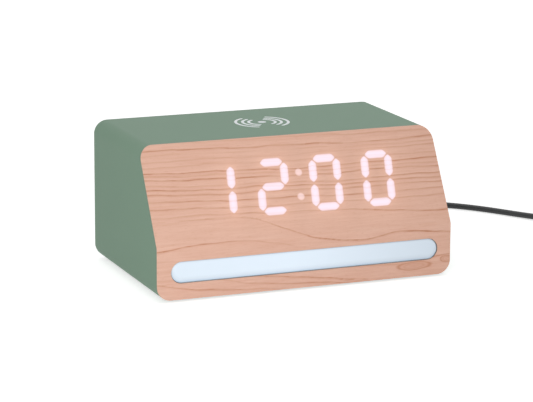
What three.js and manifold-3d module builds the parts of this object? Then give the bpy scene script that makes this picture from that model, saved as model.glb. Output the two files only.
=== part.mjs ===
// A wireless charging alarm clock, in millimetres, with +Z up.
// The front faces -Y and +X is on the right of someone who reads the time.
// The origin is the middle of the footprint, on the surface that the feet stand on.

import * as THREE from 'three';
import { mergeVertices } from 'three/addons/utils/BufferGeometryUtils.js';
import Module from 'manifold-3d';

const wasm = await Module();
wasm.setup();

// Driving dimensions of the case
const body = {
  width: 165,
  depth: 102,
  height: 75.5,
  lowerFace: 27.5, // height of the upright strip below the bend
  lean: THREE.MathUtils.degToRad(30), // how far the display face leans back
  corner: 7.4, // radius of the four long edges
  bend: 4, // radius of the bend across the front
  wall: 2.2,
};
const gap = 0.3; // clearance between pieces that seat on or slide past each other
const overrun = 6; // how far a cutter runs past what it cuts
const footHeight = 1; // how far the feet lift the case

// Planes that several pieces share
const frontY = -body.depth / 2;
const rearY = body.depth / 2;
const baseZ = footHeight;
const topZ = baseZ + body.height;
const midZ = baseZ + body.height / 2;
const bendZ = baseZ + body.lowerFace;
const floorTop = baseZ + body.wall;
const ceiling = topZ - body.wall;
const slopeLength = (topZ - bendZ) / Math.cos(body.lean);

// Counts that set how fine the round shapes are
const bendSteps = 4;
const cornerSteps = 6;
const circleSteps = 12;
const fineCircleSteps = 28;
const buttonSteps = 20;
const reliefSteps = 12;
const dotSteps = 8;
const screwSteps = 8;
const gripSteps = 4;

// Sizes of the front, from the outside in
const veneer = { thickness: 0.6, bond: 0.2 };
const carrier = { thickness: 2 };
const ledge = { reach: 3, thickness: 2 }; // rim inside the mouth that the carrier rests on
const carrierFront = veneer.thickness + veneer.bond;
const carrierBack = carrierFront + carrier.thickness;

// Sizes of the night light, whose layers lie behind the upright strip
const bar = {
  sideRoom: 7.75, // from its ends to both sides of the case
  height: 10.8,
  centreHeight: 14.3, // above the underside of the case
  slotGap: 0.35,
  crown: 0.5, // how far the lens edge lies behind its middle
  flange: 1.4, // how far the lens flange reaches past its edge
  flangeThickness: 1,
  trayDepth: 8,
  trayWall: 1.1,
  boardThickness: 1.6,
  ledCount: 12,
  ledSize: 2.8,
  ledHeight: 0.8,
};
const crownInsetShares = [0, 0.09, 0.22, 0.38]; // of the bar's height, from its edge inwards
const crownDepthShares = [1, 0.45, 0.15, 0]; // of the crown, at those insets
const barLength = body.width - 2 * bar.sideRoom;
const barZ = baseZ + bar.centreHeight;

// Sizes of the display, whose layers lie behind the leaning face
const digit = {
  count: 4,
  columns: 13.7, // between the middles of a digit's two upright strokes
  stroke: 4.6,
  split: 0.8, // between the tips of neighbouring strokes
  slant: THREE.MathUtils.degToRad(5.5),
  dot: 4.1, // diameter of a colon dot
  offset: 1.4, // of the whole row of digits, to the right of the middle
  sideRoom: 28.65, // on average, from the row's ends to both sides of the case
  endRoom: 12.2, // from the strokes to both ends of the leaning face
};
const display = {
  margin: 3, // around the digits
  plate: 1, // backing of the diffuser
  reflector: 6,
  board: 1.6,
  boardMargin: 11, // past the reflector at both ends, for the screws
  led: 1.6,
  ledHeight: 0.8,
  post: 6, // diameter
  driver: { length: 18, width: 10, height: 2.2 },
};
const slopeMiddle = slopeLength / 2;
const digitsWidth = body.width - 2 * digit.sideRoom;
const digitPitch = (digitsWidth - digit.columns - digit.stroke) / (digit.count - 1);
const digitsHeight = slopeLength - 2 * digit.endRoom;
const digitRows = (digitsHeight - digit.stroke) / 2; // between the middles of the level strokes
const displayWidth = digitsWidth + 2 * display.margin;
const displayHeight = digitsHeight + 2 * display.margin;
const plateFront = carrierBack + gap;
const reflectorFront = plateFront + display.plate + gap;
const displayBoardFront = reflectorFront + display.reflector + gap;
const displayBoardBack = displayBoardFront + display.board;
const displayScrewPlaces = [-1, 1].map((side) => [
  digit.offset + side * (displayWidth / 2 + display.boardMargin - display.post), slopeMiddle]);
const barBoardFront = frontY + plateFront + bar.flangeThickness + 2 * gap + bar.trayDepth;

// Sizes of the screws
const screw = {
  shank: 2.2, // diameter
  length: 7,
  head: 4.4, // diameter
  headHeight: 1.6,
  slotWidth: 0.7,
  slotDepth: 0.8,
  tip: 0.8,
};
const pilot = screw.shank + 2 * gap; // diameter of a hole that takes a screw
const pilotDepth = screw.length - screw.tip;
const headRoundShare = 0.7; // of the head's radius, where its dome starts
const slotReachShare = 0.6; // of the head's radius, to the ends of the cross

// Sizes of the rear cover and what is in it
const cover = {
  inset: 1.6, // how far it lies inside the rear rim
  thickness: 2,
  screwInset: 6.2, // screws from the inner corners
  boss: 8, // diameter of the corner bosses
  bossLength: 14,
};
const coverBack = rearY - cover.inset;
const coverFront = coverBack - cover.thickness;
const screwX = body.width / 2 - body.wall - cover.screwInset;
const screwHighZ = ceiling - cover.screwInset;
const screwLowZ = floorTop + cover.screwInset;

// Sizes of the charger under the top
const coil = { winding: 12.5, thickness: 1.8 };
const ferrite = { rim: 3, thickness: 1.2 }; // the rim reaches past the coil
const tray = { floor: 1.6, rim: 1.4, lugWidth: 12, lugReach: 8, boss: 7, frontRoom: 4.8, rearRoom: 5.8 };
const charger = { sideReach: 4.3, depth: 36, thickness: 1.6 }; // the reach is past the tray's lugs
const coilLead = { width: 2.6, thickness: 1.2 };
const ledgeBack = frontY + (ceiling - bendZ) * Math.tan(body.lean)
  + (carrierBack + gap + ledge.thickness) / Math.cos(body.lean);
const trayFront = ledgeBack + tray.frontRoom;
const trayBack = coverFront - tray.rearRoom;
const trayRadius = (trayBack - trayFront) / 2;
const ferriteDiameter = 2 * (trayRadius - tray.rim - gap);
const coilDiameter = ferriteDiameter - 2 * ferrite.rim;
const coilY = (trayFront + trayBack) / 2;
const coilTop = ceiling - gap;
const ferriteTop = coilTop - coil.thickness - gap;
const trayTop = ferriteTop - ferrite.thickness - gap;
const trayBottom = trayTop - tray.floor;
const lugX = trayRadius + tray.lugReach / 2;
const chargerWidth = 2 * (trayRadius + tray.lugReach + charger.sideReach);
const chargerTop = trayBottom - gap;
const chargerBottom = chargerTop - charger.thickness;
const trayPilotDepth = screw.length - charger.thickness - gap - tray.floor;

// Sizes of the buttons, the switches and their board
const button = {
  count: 4,
  pitch: 16,
  drop: 27.5, // of their row, below the top of the case
  diameter: 8,
  proud: 1.2,
  flange: 1.2, // how far the flange reaches past the cap
  flangeThickness: 1,
  stem: 3.4, // diameter
  stemLength: 2,
  edge: 0.5,
  travel: 0.6,
};
const tact = {
  size: 6,
  height: 3.6,
  plunger: 3.2, // diameter
  proud: 1.2,
  engaged: 1.1,
};
const keyBoard = { thickness: 1.6, margin: 6, height: 14, rail: 2, lip: 1.6 };
const buttonZ = topZ - button.drop;
const buttonPlaces = Array.from({ length: button.count },
  (_, i) => (i - (button.count - 1) / 2) * button.pitch);
const flangeBack = coverFront - gap;
const flangeFront = flangeBack - button.flangeThickness;
const stemFront = flangeFront - button.stemLength;
const plungerBack = stemFront - gap;
const tactBack = plungerBack - tact.proud;
const tactFront = tactBack - tact.height;
const keyBoardBack = tactFront - gap;
const keyBoardFront = keyBoardBack - keyBoard.thickness;
const keyBoardWidth = (button.count - 1) * button.pitch + tact.size + 2 * keyBoard.margin;

// Sizes of the main board and what is on it
const mainBoard = {
  thickness: 1.6,
  lift: 4,
  boss: 6, // diameter
  screwInset: 5,
  edge: 0.6, // from the rear cover
  frontRoom: 13.5, // from the light bar's board
  leftRoom: 30.3, // from the case's inner sides
  rightRoom: 14.3,
};
const socket = {
  width: 9.3, height: 3.6, depth: 7.4, wall: 0.35, recess: 0.4, blade: 0.7, bladeSide: 0.8,
  inset: 8, // of its middle, from the board's right edge
};
const mainBottom = floorTop + mainBoard.lift + gap;
const mainTop = mainBottom + mainBoard.thickness;
const mainBack = coverFront - mainBoard.edge;
const mainFront = barBoardFront + bar.boardThickness + mainBoard.frontRoom;
const mainLeft = body.wall + mainBoard.leftRoom - body.width / 2;
const mainRight = body.width / 2 - body.wall - mainBoard.rightRoom;
const mainSize = [mainRight - mainLeft, mainBack - mainFront];
const [mainX, mainY] = [(mainLeft + mainRight) / 2, (mainFront + mainBack) / 2];
const socketX = mainRight - socket.inset;
const socketZ = mainTop + gap + socket.height / 2;
const socketBack = coverBack - socket.recess;
const mainPilotDepth = screw.length - mainBoard.thickness;
const cell = { diameter: 20, thickness: 3.2, ring: 1.4, floor: 1 };
const holderShare = 0.75; // of the cell's thickness, that its ring reaches
const cellEdgeShare = 0.2; // of the cell's thickness, for its bevel
const cellX = mainX - mainSize[0] / 4;
const cellY = mainY - mainSize[1] / 8;
const cellBottom = mainTop + gap;
const sounder = { diameter: 14, height: 6, ring: 1.2, port: 2.4, reach: 3, sideRoom: 24.3 };
const sounderX = body.wall + sounder.sideRoom - body.width / 2;
const sounderZ = midZ;
const soundSlot = { count: 5, pitch: 2.6, width: 1.2, length: 9 };

// Parts on a board: place and size as shares of its width and depth, height in board thicknesses.
const chargerPartShares = [
  [-0.1, 0.1, 0.1, 0.2, 0.7], [0.12, 0.15, 0.12, 0.22, 2], [0.1, -0.25, 0.2, 0.15, 1.4],
  [-0.15, -0.28, 0.12, 0.12, 0.8], [0.28, 0.2, 0.05, 0.1, 0.5], [-0.28, 0.22, 0.06, 0.12, 0.6],
];
const mainPartShares = [
  [-0.12, 0.1, 0.1, 0.16, 1.1], [0.12, 0.12, 0.06, 0.1, 1.4], [0.3, -0.05, 0.07, 0.1, 3],
  [-0.02, -0.3, 0.09, 0.07, 3.2], [-0.06, -0.12, 0.04, 0.07, 0.7], [0.2, -0.28, 0.05, 0.08, 0.8],
];

// Sizes of the leads and ribbons inside
const flatLead = { thickness: 0.8, width: 8, stand: 4 };
const roundLead = { diameter: 1.6, sides: 6, steps: 10, bow: 5 };

// Sizes of the feet
const foot = { diameter: 10, edge: 0.4, pocket: 0.8, insetX: 14, insetY: 13 };
const pocketTop = baseZ + foot.pocket;

// Sizes of the lead, its plugs and its coil
const cord = { diameter: 3.4, sides: 8, steps: 40 };
const nearPlug = {
  length: 20, width: 11.4, height: 6.4, corner: 2.6, edge: 0.8,
  relief: 12, reliefStart: 5.6, reliefEnd: 4.4, ribs: 4, ribDepth: 0.45,
};
const ribShares = [0.1, 0.4, 0.5]; // of a rib's length: the groove's start and end, then the rib
const nearShell = { width: 8.1, height: 2.4, wall: 0.35, length: 6.2, root: 2.5 };
const farGrip = { length: 27, width: 15.4, height: 8.2, corner: 2.4, edge: 0.9, relief: 10 };
const farShell = { width: 12, height: 4.5, wall: 0.4, length: 18.5, root: 3, tongue: 1.7 };
const wound = {
  sides: 6,
  stepsPerTurn: 24,
  spacing: 3.95, // between neighbouring turns and layers
  outer: 27, // radius of the outermost turn's middle
  turnsIn: 3.5,
  climb: 0.5, // turns
  turnsOut: 3.4,
};
const tie = { thickness: 0.5, width: 6, angle: THREE.MathUtils.degToRad(120) };
const tail = { length: 26, steps: 12 };
const tailLevelShares = [0, 0.15, 0.4, 0.65, 0.87, 1]; // of the tail's length
const tailDropShares = [0, 0.02, 0.35, 0.8, 1, 1]; // of its drop, at those lengths

// Finishes, with the colours seen in the photograph
function finish(color, roughness, metalness = 0) {
  return new THREE.MeshStandardMaterial({ color, roughness, metalness });
}
const finishes = {
  sagePlastic: finish('#87a08d', 0.6),
  beechVeneer: finish('#dcae94', 0.55),
  milkyPlastic: finish('#e6effa', 0.35),
  whitePlastic: finish('#eeeeea', 0.5),
  greyPlastic: finish('#8c9490', 0.6),
  greenBoard: finish('#2f6b45', 0.45),
  copperWire: finish('#b4713f', 0.35, 1),
  ferriteGrey: finish('#3d3f42', 0.7),
  blackPlastic: finish('#26282a', 0.55),
  blackRubber: finish('#1f2021', 0.8),
  platedSteel: finish('#c4c7cb', 0.3, 1),
  switchBlack: finish('#2c2d30', 0.5),
  wireWhite: finish('#e8e6e0', 0.5),
};

// Geometry helpers

// Merges shared points, drops collapsed triangles and turns all faces outwards.
function tidy(geometry) {
  const bare = geometry.clone();
  bare.deleteAttribute('normal');
  bare.deleteAttribute('uv');
  const merged = mergeVertices(bare);
  const index = merged.index.array;
  const kept = [];
  let volume = 0;
  const [a, b, c] = [new THREE.Vector3(), new THREE.Vector3(), new THREE.Vector3()];
  for (let i = 0; i < index.length; i += 3) {
    const [p, q, r] = [index[i], index[i + 1], index[i + 2]];
    if (p === q || q === r || r === p) continue;
    kept.push(p, q, r);
    a.fromBufferAttribute(merged.attributes.position, p);
    b.fromBufferAttribute(merged.attributes.position, q);
    c.fromBufferAttribute(merged.attributes.position, r);
    volume += a.dot(b.cross(c));
  }
  if (volume < 0) kept.reverse();
  merged.setIndex(kept);
  return merged;
}

function solid(geometry) {
  const { attributes, index } = tidy(geometry);
  const mesh = { numProp: 3, vertProperties: new Float32Array(attributes.position.array) };
  mesh.triVerts = new Uint32Array(index.array);
  return new wasm.Manifold(new wasm.Mesh(mesh));
}

function geometryOf(piece) {
  const { vertProperties, triVerts, numProp } = piece.getMesh();
  const geometry = new THREE.BufferGeometry();
  geometry.setAttribute('position', new THREE.BufferAttribute(vertProperties, numProp));
  geometry.setIndex(new THREE.BufferAttribute(triVerts, 1));
  return geometry;
}

function join(...pieces) {
  return pieces.reduce((whole, piece) => whole.add(piece));
}

function cut(piece, ...cutters) {
  return piece.subtract(join(...cutters));
}

function box(low, high) {
  const size = high.map((value, i) => value - low[i]);
  const geometry = new THREE.BoxGeometry(...size);
  return solid(geometry.translate(...low.map((value, i) => value + size[i] / 2)));
}

function roundedRect(width, height, radius, x = 0, y = 0) {
  const [right, up] = [width / 2 - radius, height / 2 - radius];
  const shape = new THREE.Shape();
  const quarter = Math.PI / 2;
  shape.absarc(x + right, y + up, radius, 0, quarter);
  shape.absarc(x - right, y + up, radius, quarter, 2 * quarter);
  shape.absarc(x - right, y - up, radius, 2 * quarter, 3 * quarter);
  shape.absarc(x + right, y - up, radius, 3 * quarter, 4 * quarter);
  shape.closePath();
  return shape;
}

function disc(diameter, x = 0, y = 0) {
  return new THREE.Shape().absarc(x, y, diameter / 2, 0, 2 * Math.PI);
}

function polygon(points) {
  return new THREE.Shape(points.map(([x, y]) => new THREE.Vector2(x, y)));
}

// An arc of a shape gets two sides for each of its curve segments.
function extruded(shape, length, steps) {
  return new THREE.ExtrudeGeometry(shape, { depth: length, bevelEnabled: false, curveSegments: steps / 2 });
}

// The shape's second coordinate is Z, and it runs along Y.
function prismY(shape, from, to, steps = cornerSteps) {
  return solid(extruded(shape, to - from, steps).rotateX(Math.PI / 2).translate(0, to, 0));
}

function prismZ(shape, from, to, steps = cornerSteps) {
  return solid(extruded(shape, to - from, steps).translate(0, 0, from));
}

// The shape's coordinates are Y and Z, and it runs along X.
function prismX(shape, from, to, steps = cornerSteps) {
  const turn = new THREE.Matrix4().makeBasis(
    new THREE.Vector3(0, 1, 0), new THREE.Vector3(0, 0, 1), new THREE.Vector3(1, 0, 0));
  return solid(extruded(shape, to - from, steps).applyMatrix4(turn).translate(from, 0, 0));
}

function rodY(diameter, x, z, from, to, steps = circleSteps) {
  return prismY(disc(diameter, x, z), from, to, steps);
}

function rodZ(diameter, x, y, from, to, steps = circleSteps) {
  return prismZ(disc(diameter, x, y), from, to, steps);
}

// A turned shape about the Y axis, from pairs of radius and place along it.
function turned(profile, steps = circleSteps) {
  return solid(new THREE.LatheGeometry(profile.map(([r, y]) => new THREE.Vector2(r, y)), steps));
}

// A closed skin through rings that each hold the same number of points.
function loft(rings) {
  const count = rings[0].length;
  const points = rings.flat();
  const index = [];
  for (let r = 0; r + 1 < rings.length; r += 1) {
    for (let i = 0; i < count; i += 1) {
      const [a, b] = [r * count + i, r * count + (i + 1) % count];
      index.push(a, b, a + count, b, b + count, a + count);
    }
  }
  [[0, false], [rings.length - 1, true]].forEach(([r, last]) => {
    const middle = points.length;
    const sum = rings[r].reduce((total, point) => total.add(point), new THREE.Vector3());
    points.push(sum.divideScalar(count));
    for (let i = 0; i < count; i += 1) {
      const [a, b] = [r * count + i, r * count + (i + 1) % count];
      index.push(...(last ? [a, b, middle] : [b, a, middle]));
    }
  });
  const geometry = new THREE.BufferGeometry().setFromPoints(points);
  geometry.setIndex(index);
  return solid(geometry);
}

// Points round a rounded rectangle at one Y, for a loft along Y.
function ringY(width, height, radius, y, z = 0, steps = cornerSteps) {
  const quarter = Math.PI / 2;
  return Array.from({ length: 4 * (steps + 1) }, (_, i) => {
    const corner = Math.floor(i / (steps + 1));
    const angle = quarter * (corner + (i % (steps + 1)) / steps);
    const sideX = corner === 0 || corner === 3 ? 1 : -1;
    const sideZ = corner < 2 ? 1 : -1;
    return new THREE.Vector3(sideX * (width / 2 - radius) + radius * Math.cos(angle), y,
      z + sideZ * (height / 2 - radius) + radius * Math.sin(angle));
  });
}

// A flat strip that follows a bent line in Y and Z.
function strip(line, thickness) {
  const sides = [[], []];
  line.forEach(([y, z], i) => {
    const before = line[Math.max(i - 1, 0)];
    const after = line[Math.min(i + 1, line.length - 1)];
    const [first, last] = [new THREE.Vector2(y - before[0], z - before[1]),
      new THREE.Vector2(after[0] - y, after[1] - z)];
    const run = first.clone().normalize().add(last.clone().normalize()).normalize();
    const along = last.length() > 0 ? last.normalize() : first.normalize();
    const half = thickness / 2 / run.dot(along);
    sides[0].push([y - run.y * half, z + run.x * half]);
    sides[1].unshift([y + run.y * half, z - run.x * half]);
  });
  return polygon([...sides[0], ...sides[1]]);
}

// A round wire along a smooth curve through the points.
function wire(points, diameter, sides, steps) {
  const curve = new THREE.CatmullRomCurve3(points.map((point) => new THREE.Vector3(...point)));
  const section = new THREE.Shape();
  for (let i = 0; i < sides; i += 1) {
    const angle = (i / sides) * 2 * Math.PI;
    const [x, y] = [Math.cos(angle) * diameter / 2, Math.sin(angle) * diameter / 2];
    if (i === 0) section.moveTo(x, y);
    else section.lineTo(x, y);
  }
  section.closePath();
  return solid(new THREE.ExtrudeGeometry(section, { steps, bevelEnabled: false, extrudePath: curve }));
}

// The assembly: each piece is a named mesh, and those of the leaning face share its group.
const clock = new THREE.Group();
const slope = new THREE.Group();
slope.position.set(0, frontY, bendZ);
slope.rotation.x = -body.lean;
slope.updateMatrixWorld(true);
clock.add(slope);

// The group's own Y runs square into the leaning face, and its Z runs up along it.
function fromSlope(piece) {
  return piece.transform(slope.matrixWorld.elements);
}

function add(name, piece, material, parent = clock) {
  const mesh = new THREE.Mesh(geometryOf(piece), material);
  mesh.name = name;
  parent.add(mesh);
  return mesh;
}

function addAt(name, piece, material, place) {
  add(name, piece, material).position.set(...place);
}

// Case outline and front

function caseOutline(inset) {
  const [width, height] = [body.width - 2 * inset, body.height - 2 * inset];
  return roundedRect(width, height, body.corner - inset, 0, midZ);
}

// The front seen from the side: upright, round the bend, then leaning back.
function frontLine(inset) {
  const bend = Math.max(body.bend, inset);
  const radius = bend - inset;
  const centreY = frontY + bend;
  const centreZ = bendZ - bend * Math.tan(body.lean / 2);
  const line = [[frontY + inset, baseZ - overrun]];
  const steps = radius > 0 ? bendSteps : 0;
  for (let i = 0; i <= steps; i += 1) {
    const angle = body.lean * i / bendSteps;
    line.push([centreY - radius * Math.cos(angle), centreZ + radius * Math.sin(angle)]);
  }
  const [lastY, lastZ] = line[line.length - 1];
  const rise = topZ + overrun - lastZ;
  line.push([lastY + rise * Math.tan(body.lean), lastZ + rise]);
  return line;
}

// All the space that lies more than `inset` behind the front.
function behindFront(inset) {
  const rear = [[rearY + overrun, topZ + overrun], [rearY + overrun, baseZ - overrun]];
  const half = body.width / 2 + overrun;
  return prismX(polygon([...frontLine(inset), ...rear]), -half, half);
}

function frontLayer(outline, from, to) {
  const block = prismY(outline, frontY - overrun, rearY);
  return block.intersect(cut(behindFront(from), behindFront(to)));
}

function barSlot(grow) {
  const [length, height] = [barLength + 2 * grow, bar.height + 2 * grow];
  return roundedRect(length, height, height / 2, 0, barZ);
}

// Digit strokes: pointed bars round a figure of eight, sheared by the slant

function slanted(x, z) {
  return [x + (z - slopeMiddle) * Math.tan(digit.slant), z];
}

function stroke(x, z, level, inset) {
  const reach = (level ? digit.columns : digitRows) / 2 - digit.split / 2 - inset;
  const half = digit.stroke / 2 - inset;
  const shoulder = reach - half;
  const outline = [[-reach, 0], [-shoulder, half], [shoulder, half], [reach, 0],
    [shoulder, -half], [-shoulder, -half]];
  return polygon(outline.map(([u, v]) => (level ? slanted(x + u, z + v) : slanted(x + v, z + u))));
}

function digitStrokes(x, inset) {
  const strokes = [];
  [-1, 0, 1].forEach((row) => strokes.push(stroke(x, slopeMiddle + row * digitRows, true, inset)));
  [-1, 1].forEach((row) => [-1, 1].forEach((side) => {
    const z = slopeMiddle + row * digitRows / 2;
    strokes.push(stroke(x + side * digit.columns / 2, z, false, inset));
  }));
  return strokes;
}

// All strokes and both colon dots, each a prism between two depths.
function lights(inset, from, to) {
  const shapes = [];
  for (let i = 0; i < digit.count; i += 1) {
    const x = digit.offset + (i - (digit.count - 1) / 2) * digitPitch;
    shapes.push(...digitStrokes(x, inset));
  }
  [-1, 1].forEach((row) => {
    const [x, z] = slanted(digit.offset, slopeMiddle + row * digitRows / 2);
    shapes.push(disc(digit.dot - 2 * inset, x, z));
  });
  return join(...shapes.map((shape) => prismY(shape, from, to, dotSteps)));
}

// Screws, whose heads are domed and crossed; they point along -Y until they are turned

function crossScrew() {
  const [head, shank] = [screw.head / 2, screw.shank / 2];
  const profile = [[0, -screw.length], [shank / 2, -screw.length], [shank, screw.tip - screw.length],
    [shank, 0], [head, 0], [head, screw.headHeight / 2], [head * headRoundShare, screw.headHeight],
    [0, screw.headHeight]];
  const [half, low, high] = [screw.slotWidth / 2, screw.headHeight - screw.slotDepth, screw.headHeight];
  const arm = head * slotReachShare;
  return cut(
    turned(profile, screwSteps),
    box([-arm, low, -half], [arm, high + overrun, half]),
    box([-half, low, -arm], [half, high + overrun, arm]));
}

// Pieces of the case

const coverScrewPlaces = [screwLowZ, screwHighZ].flatMap((z) => [[-screwX, z], [screwX, z]]);
const mainScrewPlaces = [mainLeft + mainBoard.screwInset, mainRight - mainBoard.screwInset].map((x) => [
  x, mainFront + mainBoard.screwInset]);
const footPlaces = [-1, 1].flatMap((side) => [-1, 1].map((end) => [
  side * (body.width / 2 - foot.insetX), end * (body.depth / 2 - foot.insetY)]));

function housing() {
  const sleeve = cut(prismY(caseOutline(0), frontY, rearY), prismY(caseOutline(body.wall), frontY - overrun,
    rearY + overrun));
  const rimFront = carrierBack + gap;
  const rim = cut(frontLayer(caseOutline(body.wall / 2), rimFront, rimFront + ledge.thickness),
    prismY(caseOutline(body.wall + ledge.reach), frontY - overrun, rearY));
  const coverSeat = coverFront - gap;
  const bossFront = coverSeat - cover.bossLength;
  const bosses = coverScrewPlaces.map(([x, z]) => rodY(cover.boss, x, z, bossFront, coverSeat));
  const webs = coverScrewPlaces.map(([x, z]) => box(
    [x < 0 ? -body.width / 2 + body.wall / 2 : x, bossFront, z - body.wall / 2],
    [x < 0 ? x : body.width / 2 - body.wall / 2, coverSeat, z + body.wall / 2]));
  const trayBosses = [-1, 1].map((side) => rodZ(tray.boss, side * lugX, coilY, trayTop + gap,
    ceiling + body.wall / 2));
  const boardBosses = mainScrewPlaces.map(([x, y]) => rodZ(mainBoard.boss, x, y, floorTop - body.wall / 2,
    mainBottom - gap));
  const rests = mainScrewPlaces.map(([x]) => rodZ(mainBoard.boss, x, mainBack - mainBoard.screwInset,
    floorTop - body.wall / 2, mainBottom - gap));
  const whole = join(sleeve.intersect(behindFront(carrierFront)), rim, ...bosses, ...webs, ...trayBosses,
    ...boardBosses, ...rests);
  return cut(
    whole,
    ...coverScrewPlaces.map(([x, z]) => rodY(pilot, x, z, coverSeat - pilotDepth, coverSeat + overrun)),
    ...[-1, 1].map((side) => rodZ(pilot, side * lugX, coilY, trayTop, trayTop + gap + trayPilotDepth)),
    ...mainScrewPlaces.map(([x, y]) => rodZ(pilot, x, y, mainBottom - gap - mainPilotDepth, mainBottom)),
    ...footPlaces.map(([x, y]) => rodZ(foot.diameter + 2 * gap, x, y, baseZ - overrun, pocketTop)));
}

function woodFace() {
  const sheet = frontLayer(caseOutline(0), 0, veneer.thickness);
  return cut(sheet, prismY(barSlot(bar.slotGap), frontY - overrun, frontY + overrun));
}

function faceCarrier() {
  const panel = frontLayer(caseOutline(body.wall + gap), carrierFront, carrierBack);
  const posts = displayScrewPlaces.map(([x, z]) => fromSlope(rodY(display.post, x, z,
    carrierBack - carrier.thickness / 2, displayBoardFront - gap)));
  const windows = fromSlope(lights(0, carrierFront - gap, carrierBack + gap));
  const slot = prismY(barSlot(bar.slotGap), frontY - overrun, frontY + carrierBack + gap);
  const pilots = displayScrewPlaces.map(([x, z]) => fromSlope(rodY(pilot, x, z,
    displayBoardFront + display.board - screw.length, displayBoardFront)));
  return cut(join(panel, ...posts), windows, slot, ...pilots);
}

// Pieces of the night light

function barLens() {
  const endSteps = circleSteps / 2;
  const rings = crownInsetShares.map((share, i) => {
    const height = bar.height * (1 - 2 * share);
    const length = barLength - 2 * share * bar.height;
    return ringY(length, height, height / 2, frontY + bar.crown * crownDepthShares[i], barZ, endSteps);
  }).reverse();
  const flangeFrontY = frontY + plateFront;
  const rootY = flangeFrontY + bar.flangeThickness / 2;
  rings.push(ringY(barLength, bar.height, bar.height / 2, rootY, barZ, endSteps));
  const flange = prismY(barSlot(bar.flange), flangeFrontY, flangeFrontY + bar.flangeThickness);
  return join(loft(rings), flange);
}

function barReflector() {
  const [from, to] = [frontY + plateFront + bar.flangeThickness + gap, barBoardFront - gap];
  const outside = prismY(barSlot(bar.flange), from, to);
  return cut(outside, prismY(barSlot(bar.flange - bar.trayWall), from - overrun, to + overrun));
}

function barBoard() {
  const board = prismY(barSlot(bar.flange), barBoardFront, barBoardFront + bar.boardThickness);
  const span = barLength - 2 * bar.height;
  const leds = Array.from({ length: bar.ledCount }, (_, i) => {
    const x = span * (i / (bar.ledCount - 1) - 1 / 2);
    const half = bar.ledSize / 2;
    return box([x - half, barBoardFront - bar.ledHeight, barZ - half],
      [x + half, barBoardFront + bar.boardThickness / 2, barZ + half]);
  });
  return join(board, ...leds);
}

// Pieces of the display, made flat for the leaning face's group

function displayBlock(grow, from, to) {
  const width = displayWidth + 2 * grow;
  return prismY(roundedRect(width, displayHeight, display.margin, digit.offset, slopeMiddle), from, to);
}

function digitDiffuser() {
  const raised = lights(gap, carrierFront + gap, plateFront + display.plate / 2);
  return join(displayBlock(0, plateFront, plateFront + display.plate), raised);
}

function displayReflector() {
  const [from, to] = [reflectorFront, reflectorFront + display.reflector];
  return cut(displayBlock(0, from, to), lights(0, from - overrun, to + overrun));
}

function displayBoard() {
  const block = displayBlock(display.boardMargin, displayBoardFront, displayBoardBack);
  const half = display.led / 2;
  const leds = digitCentres().map(([x, z]) => box(
    [x - half, displayBoardFront - display.ledHeight, z - half],
    [x + half, displayBoardFront + display.board / 2, z + half]));
  const { length, width, height } = display.driver;
  const driver = box(
    [digit.offset - length / 2, displayBoardBack - display.board / 2, slopeMiddle - width / 2],
    [digit.offset + length / 2, displayBoardBack + height, slopeMiddle + width / 2]);
  const holes = displayScrewPlaces.map(([x, z]) => rodY(pilot, x, z, displayBoardFront - overrun,
    displayBoardBack + overrun));
  return cut(join(block, ...leds, driver), ...holes);
}

// The middle of every stroke and dot.
function digitCentres() {
  const centres = [-1, 1].map((row) => slanted(digit.offset, slopeMiddle + row * digitRows / 2));
  for (let i = 0; i < digit.count; i += 1) {
    const x = digit.offset + (i - (digit.count - 1) / 2) * digitPitch;
    [-1, 0, 1].forEach((row) => centres.push(slanted(x, slopeMiddle + row * digitRows)));
    [-1, 1].forEach((row) => [-1, 1].forEach((side) => centres.push(
      slanted(x + side * digit.columns / 2, slopeMiddle + row * digitRows / 2))));
  }
  return centres;
}

// Pieces of the charger, whose coil lies under the middle of the top

function chargingCoil() {
  const [bottom, top] = [coilTop - coil.thickness, coilTop];
  return cut(rodZ(coilDiameter, 0, coilY, bottom, top, fineCircleSteps),
    rodZ(coilDiameter - 2 * coil.winding, 0, coilY, bottom - overrun, top + overrun, fineCircleSteps));
}

function coilTray() {
  const floor = rodZ(2 * trayRadius, 0, coilY, trayBottom, trayTop, fineCircleSteps);
  const wall = cut(rodZ(2 * trayRadius, 0, coilY, trayBottom, coilTop, fineCircleSteps),
    rodZ(ferriteDiameter + 2 * gap, 0, coilY, trayTop, coilTop + overrun, fineCircleSteps));
  const lugs = box([-lugX - tray.lugReach / 2, coilY - tray.lugWidth / 2, trayBottom],
    [lugX + tray.lugReach / 2, coilY + tray.lugWidth / 2, trayTop]);
  const notch = box([-coilLead.width / 2 - gap, coilY, trayTop],
    [coilLead.width / 2 + gap, coilY + trayRadius + overrun, coilTop + overrun]);
  const holes = [-1, 1].map((side) => rodZ(pilot, side * lugX, coilY, trayBottom - overrun,
    trayTop + overrun));
  return cut(join(floor, wall, lugs), notch, ...holes);
}

function chargerBoard() {
  const [middle, size] = [[0, coilY], [chargerWidth, charger.depth]];
  const board = prismZ(roundedRect(...size, charger.thickness, ...middle), chargerBottom, chargerTop);
  const parts = chargerPartShares.map(
    (shares) => boardPart(middle, size, chargerBottom, charger.thickness, -1, shares));
  const holes = [-1, 1].map((side) => rodZ(pilot, side * lugX, coilY, chargerBottom - overrun,
    chargerTop + overrun));
  return cut(join(board, ...parts), ...holes);
}
function boardPart([midX, midY], [width, depth], face, thickness, side, shares) {
  const [x, y, partWidth, partDepth, height] = shares;
  const [lowX, highX] = [-1, 1].map((end) => midX + width * (x + end * partWidth / 2));
  const [lowY, highY] = [-1, 1].map((end) => midY + depth * (y + end * partDepth / 2));
  const [inside, outside] = [face - side * thickness / 2, face + side * thickness * height];
  return box([lowX, lowY, Math.min(inside, outside)], [highX, highY, Math.max(inside, outside)]);
}

// The main board and what stands on it

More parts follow.
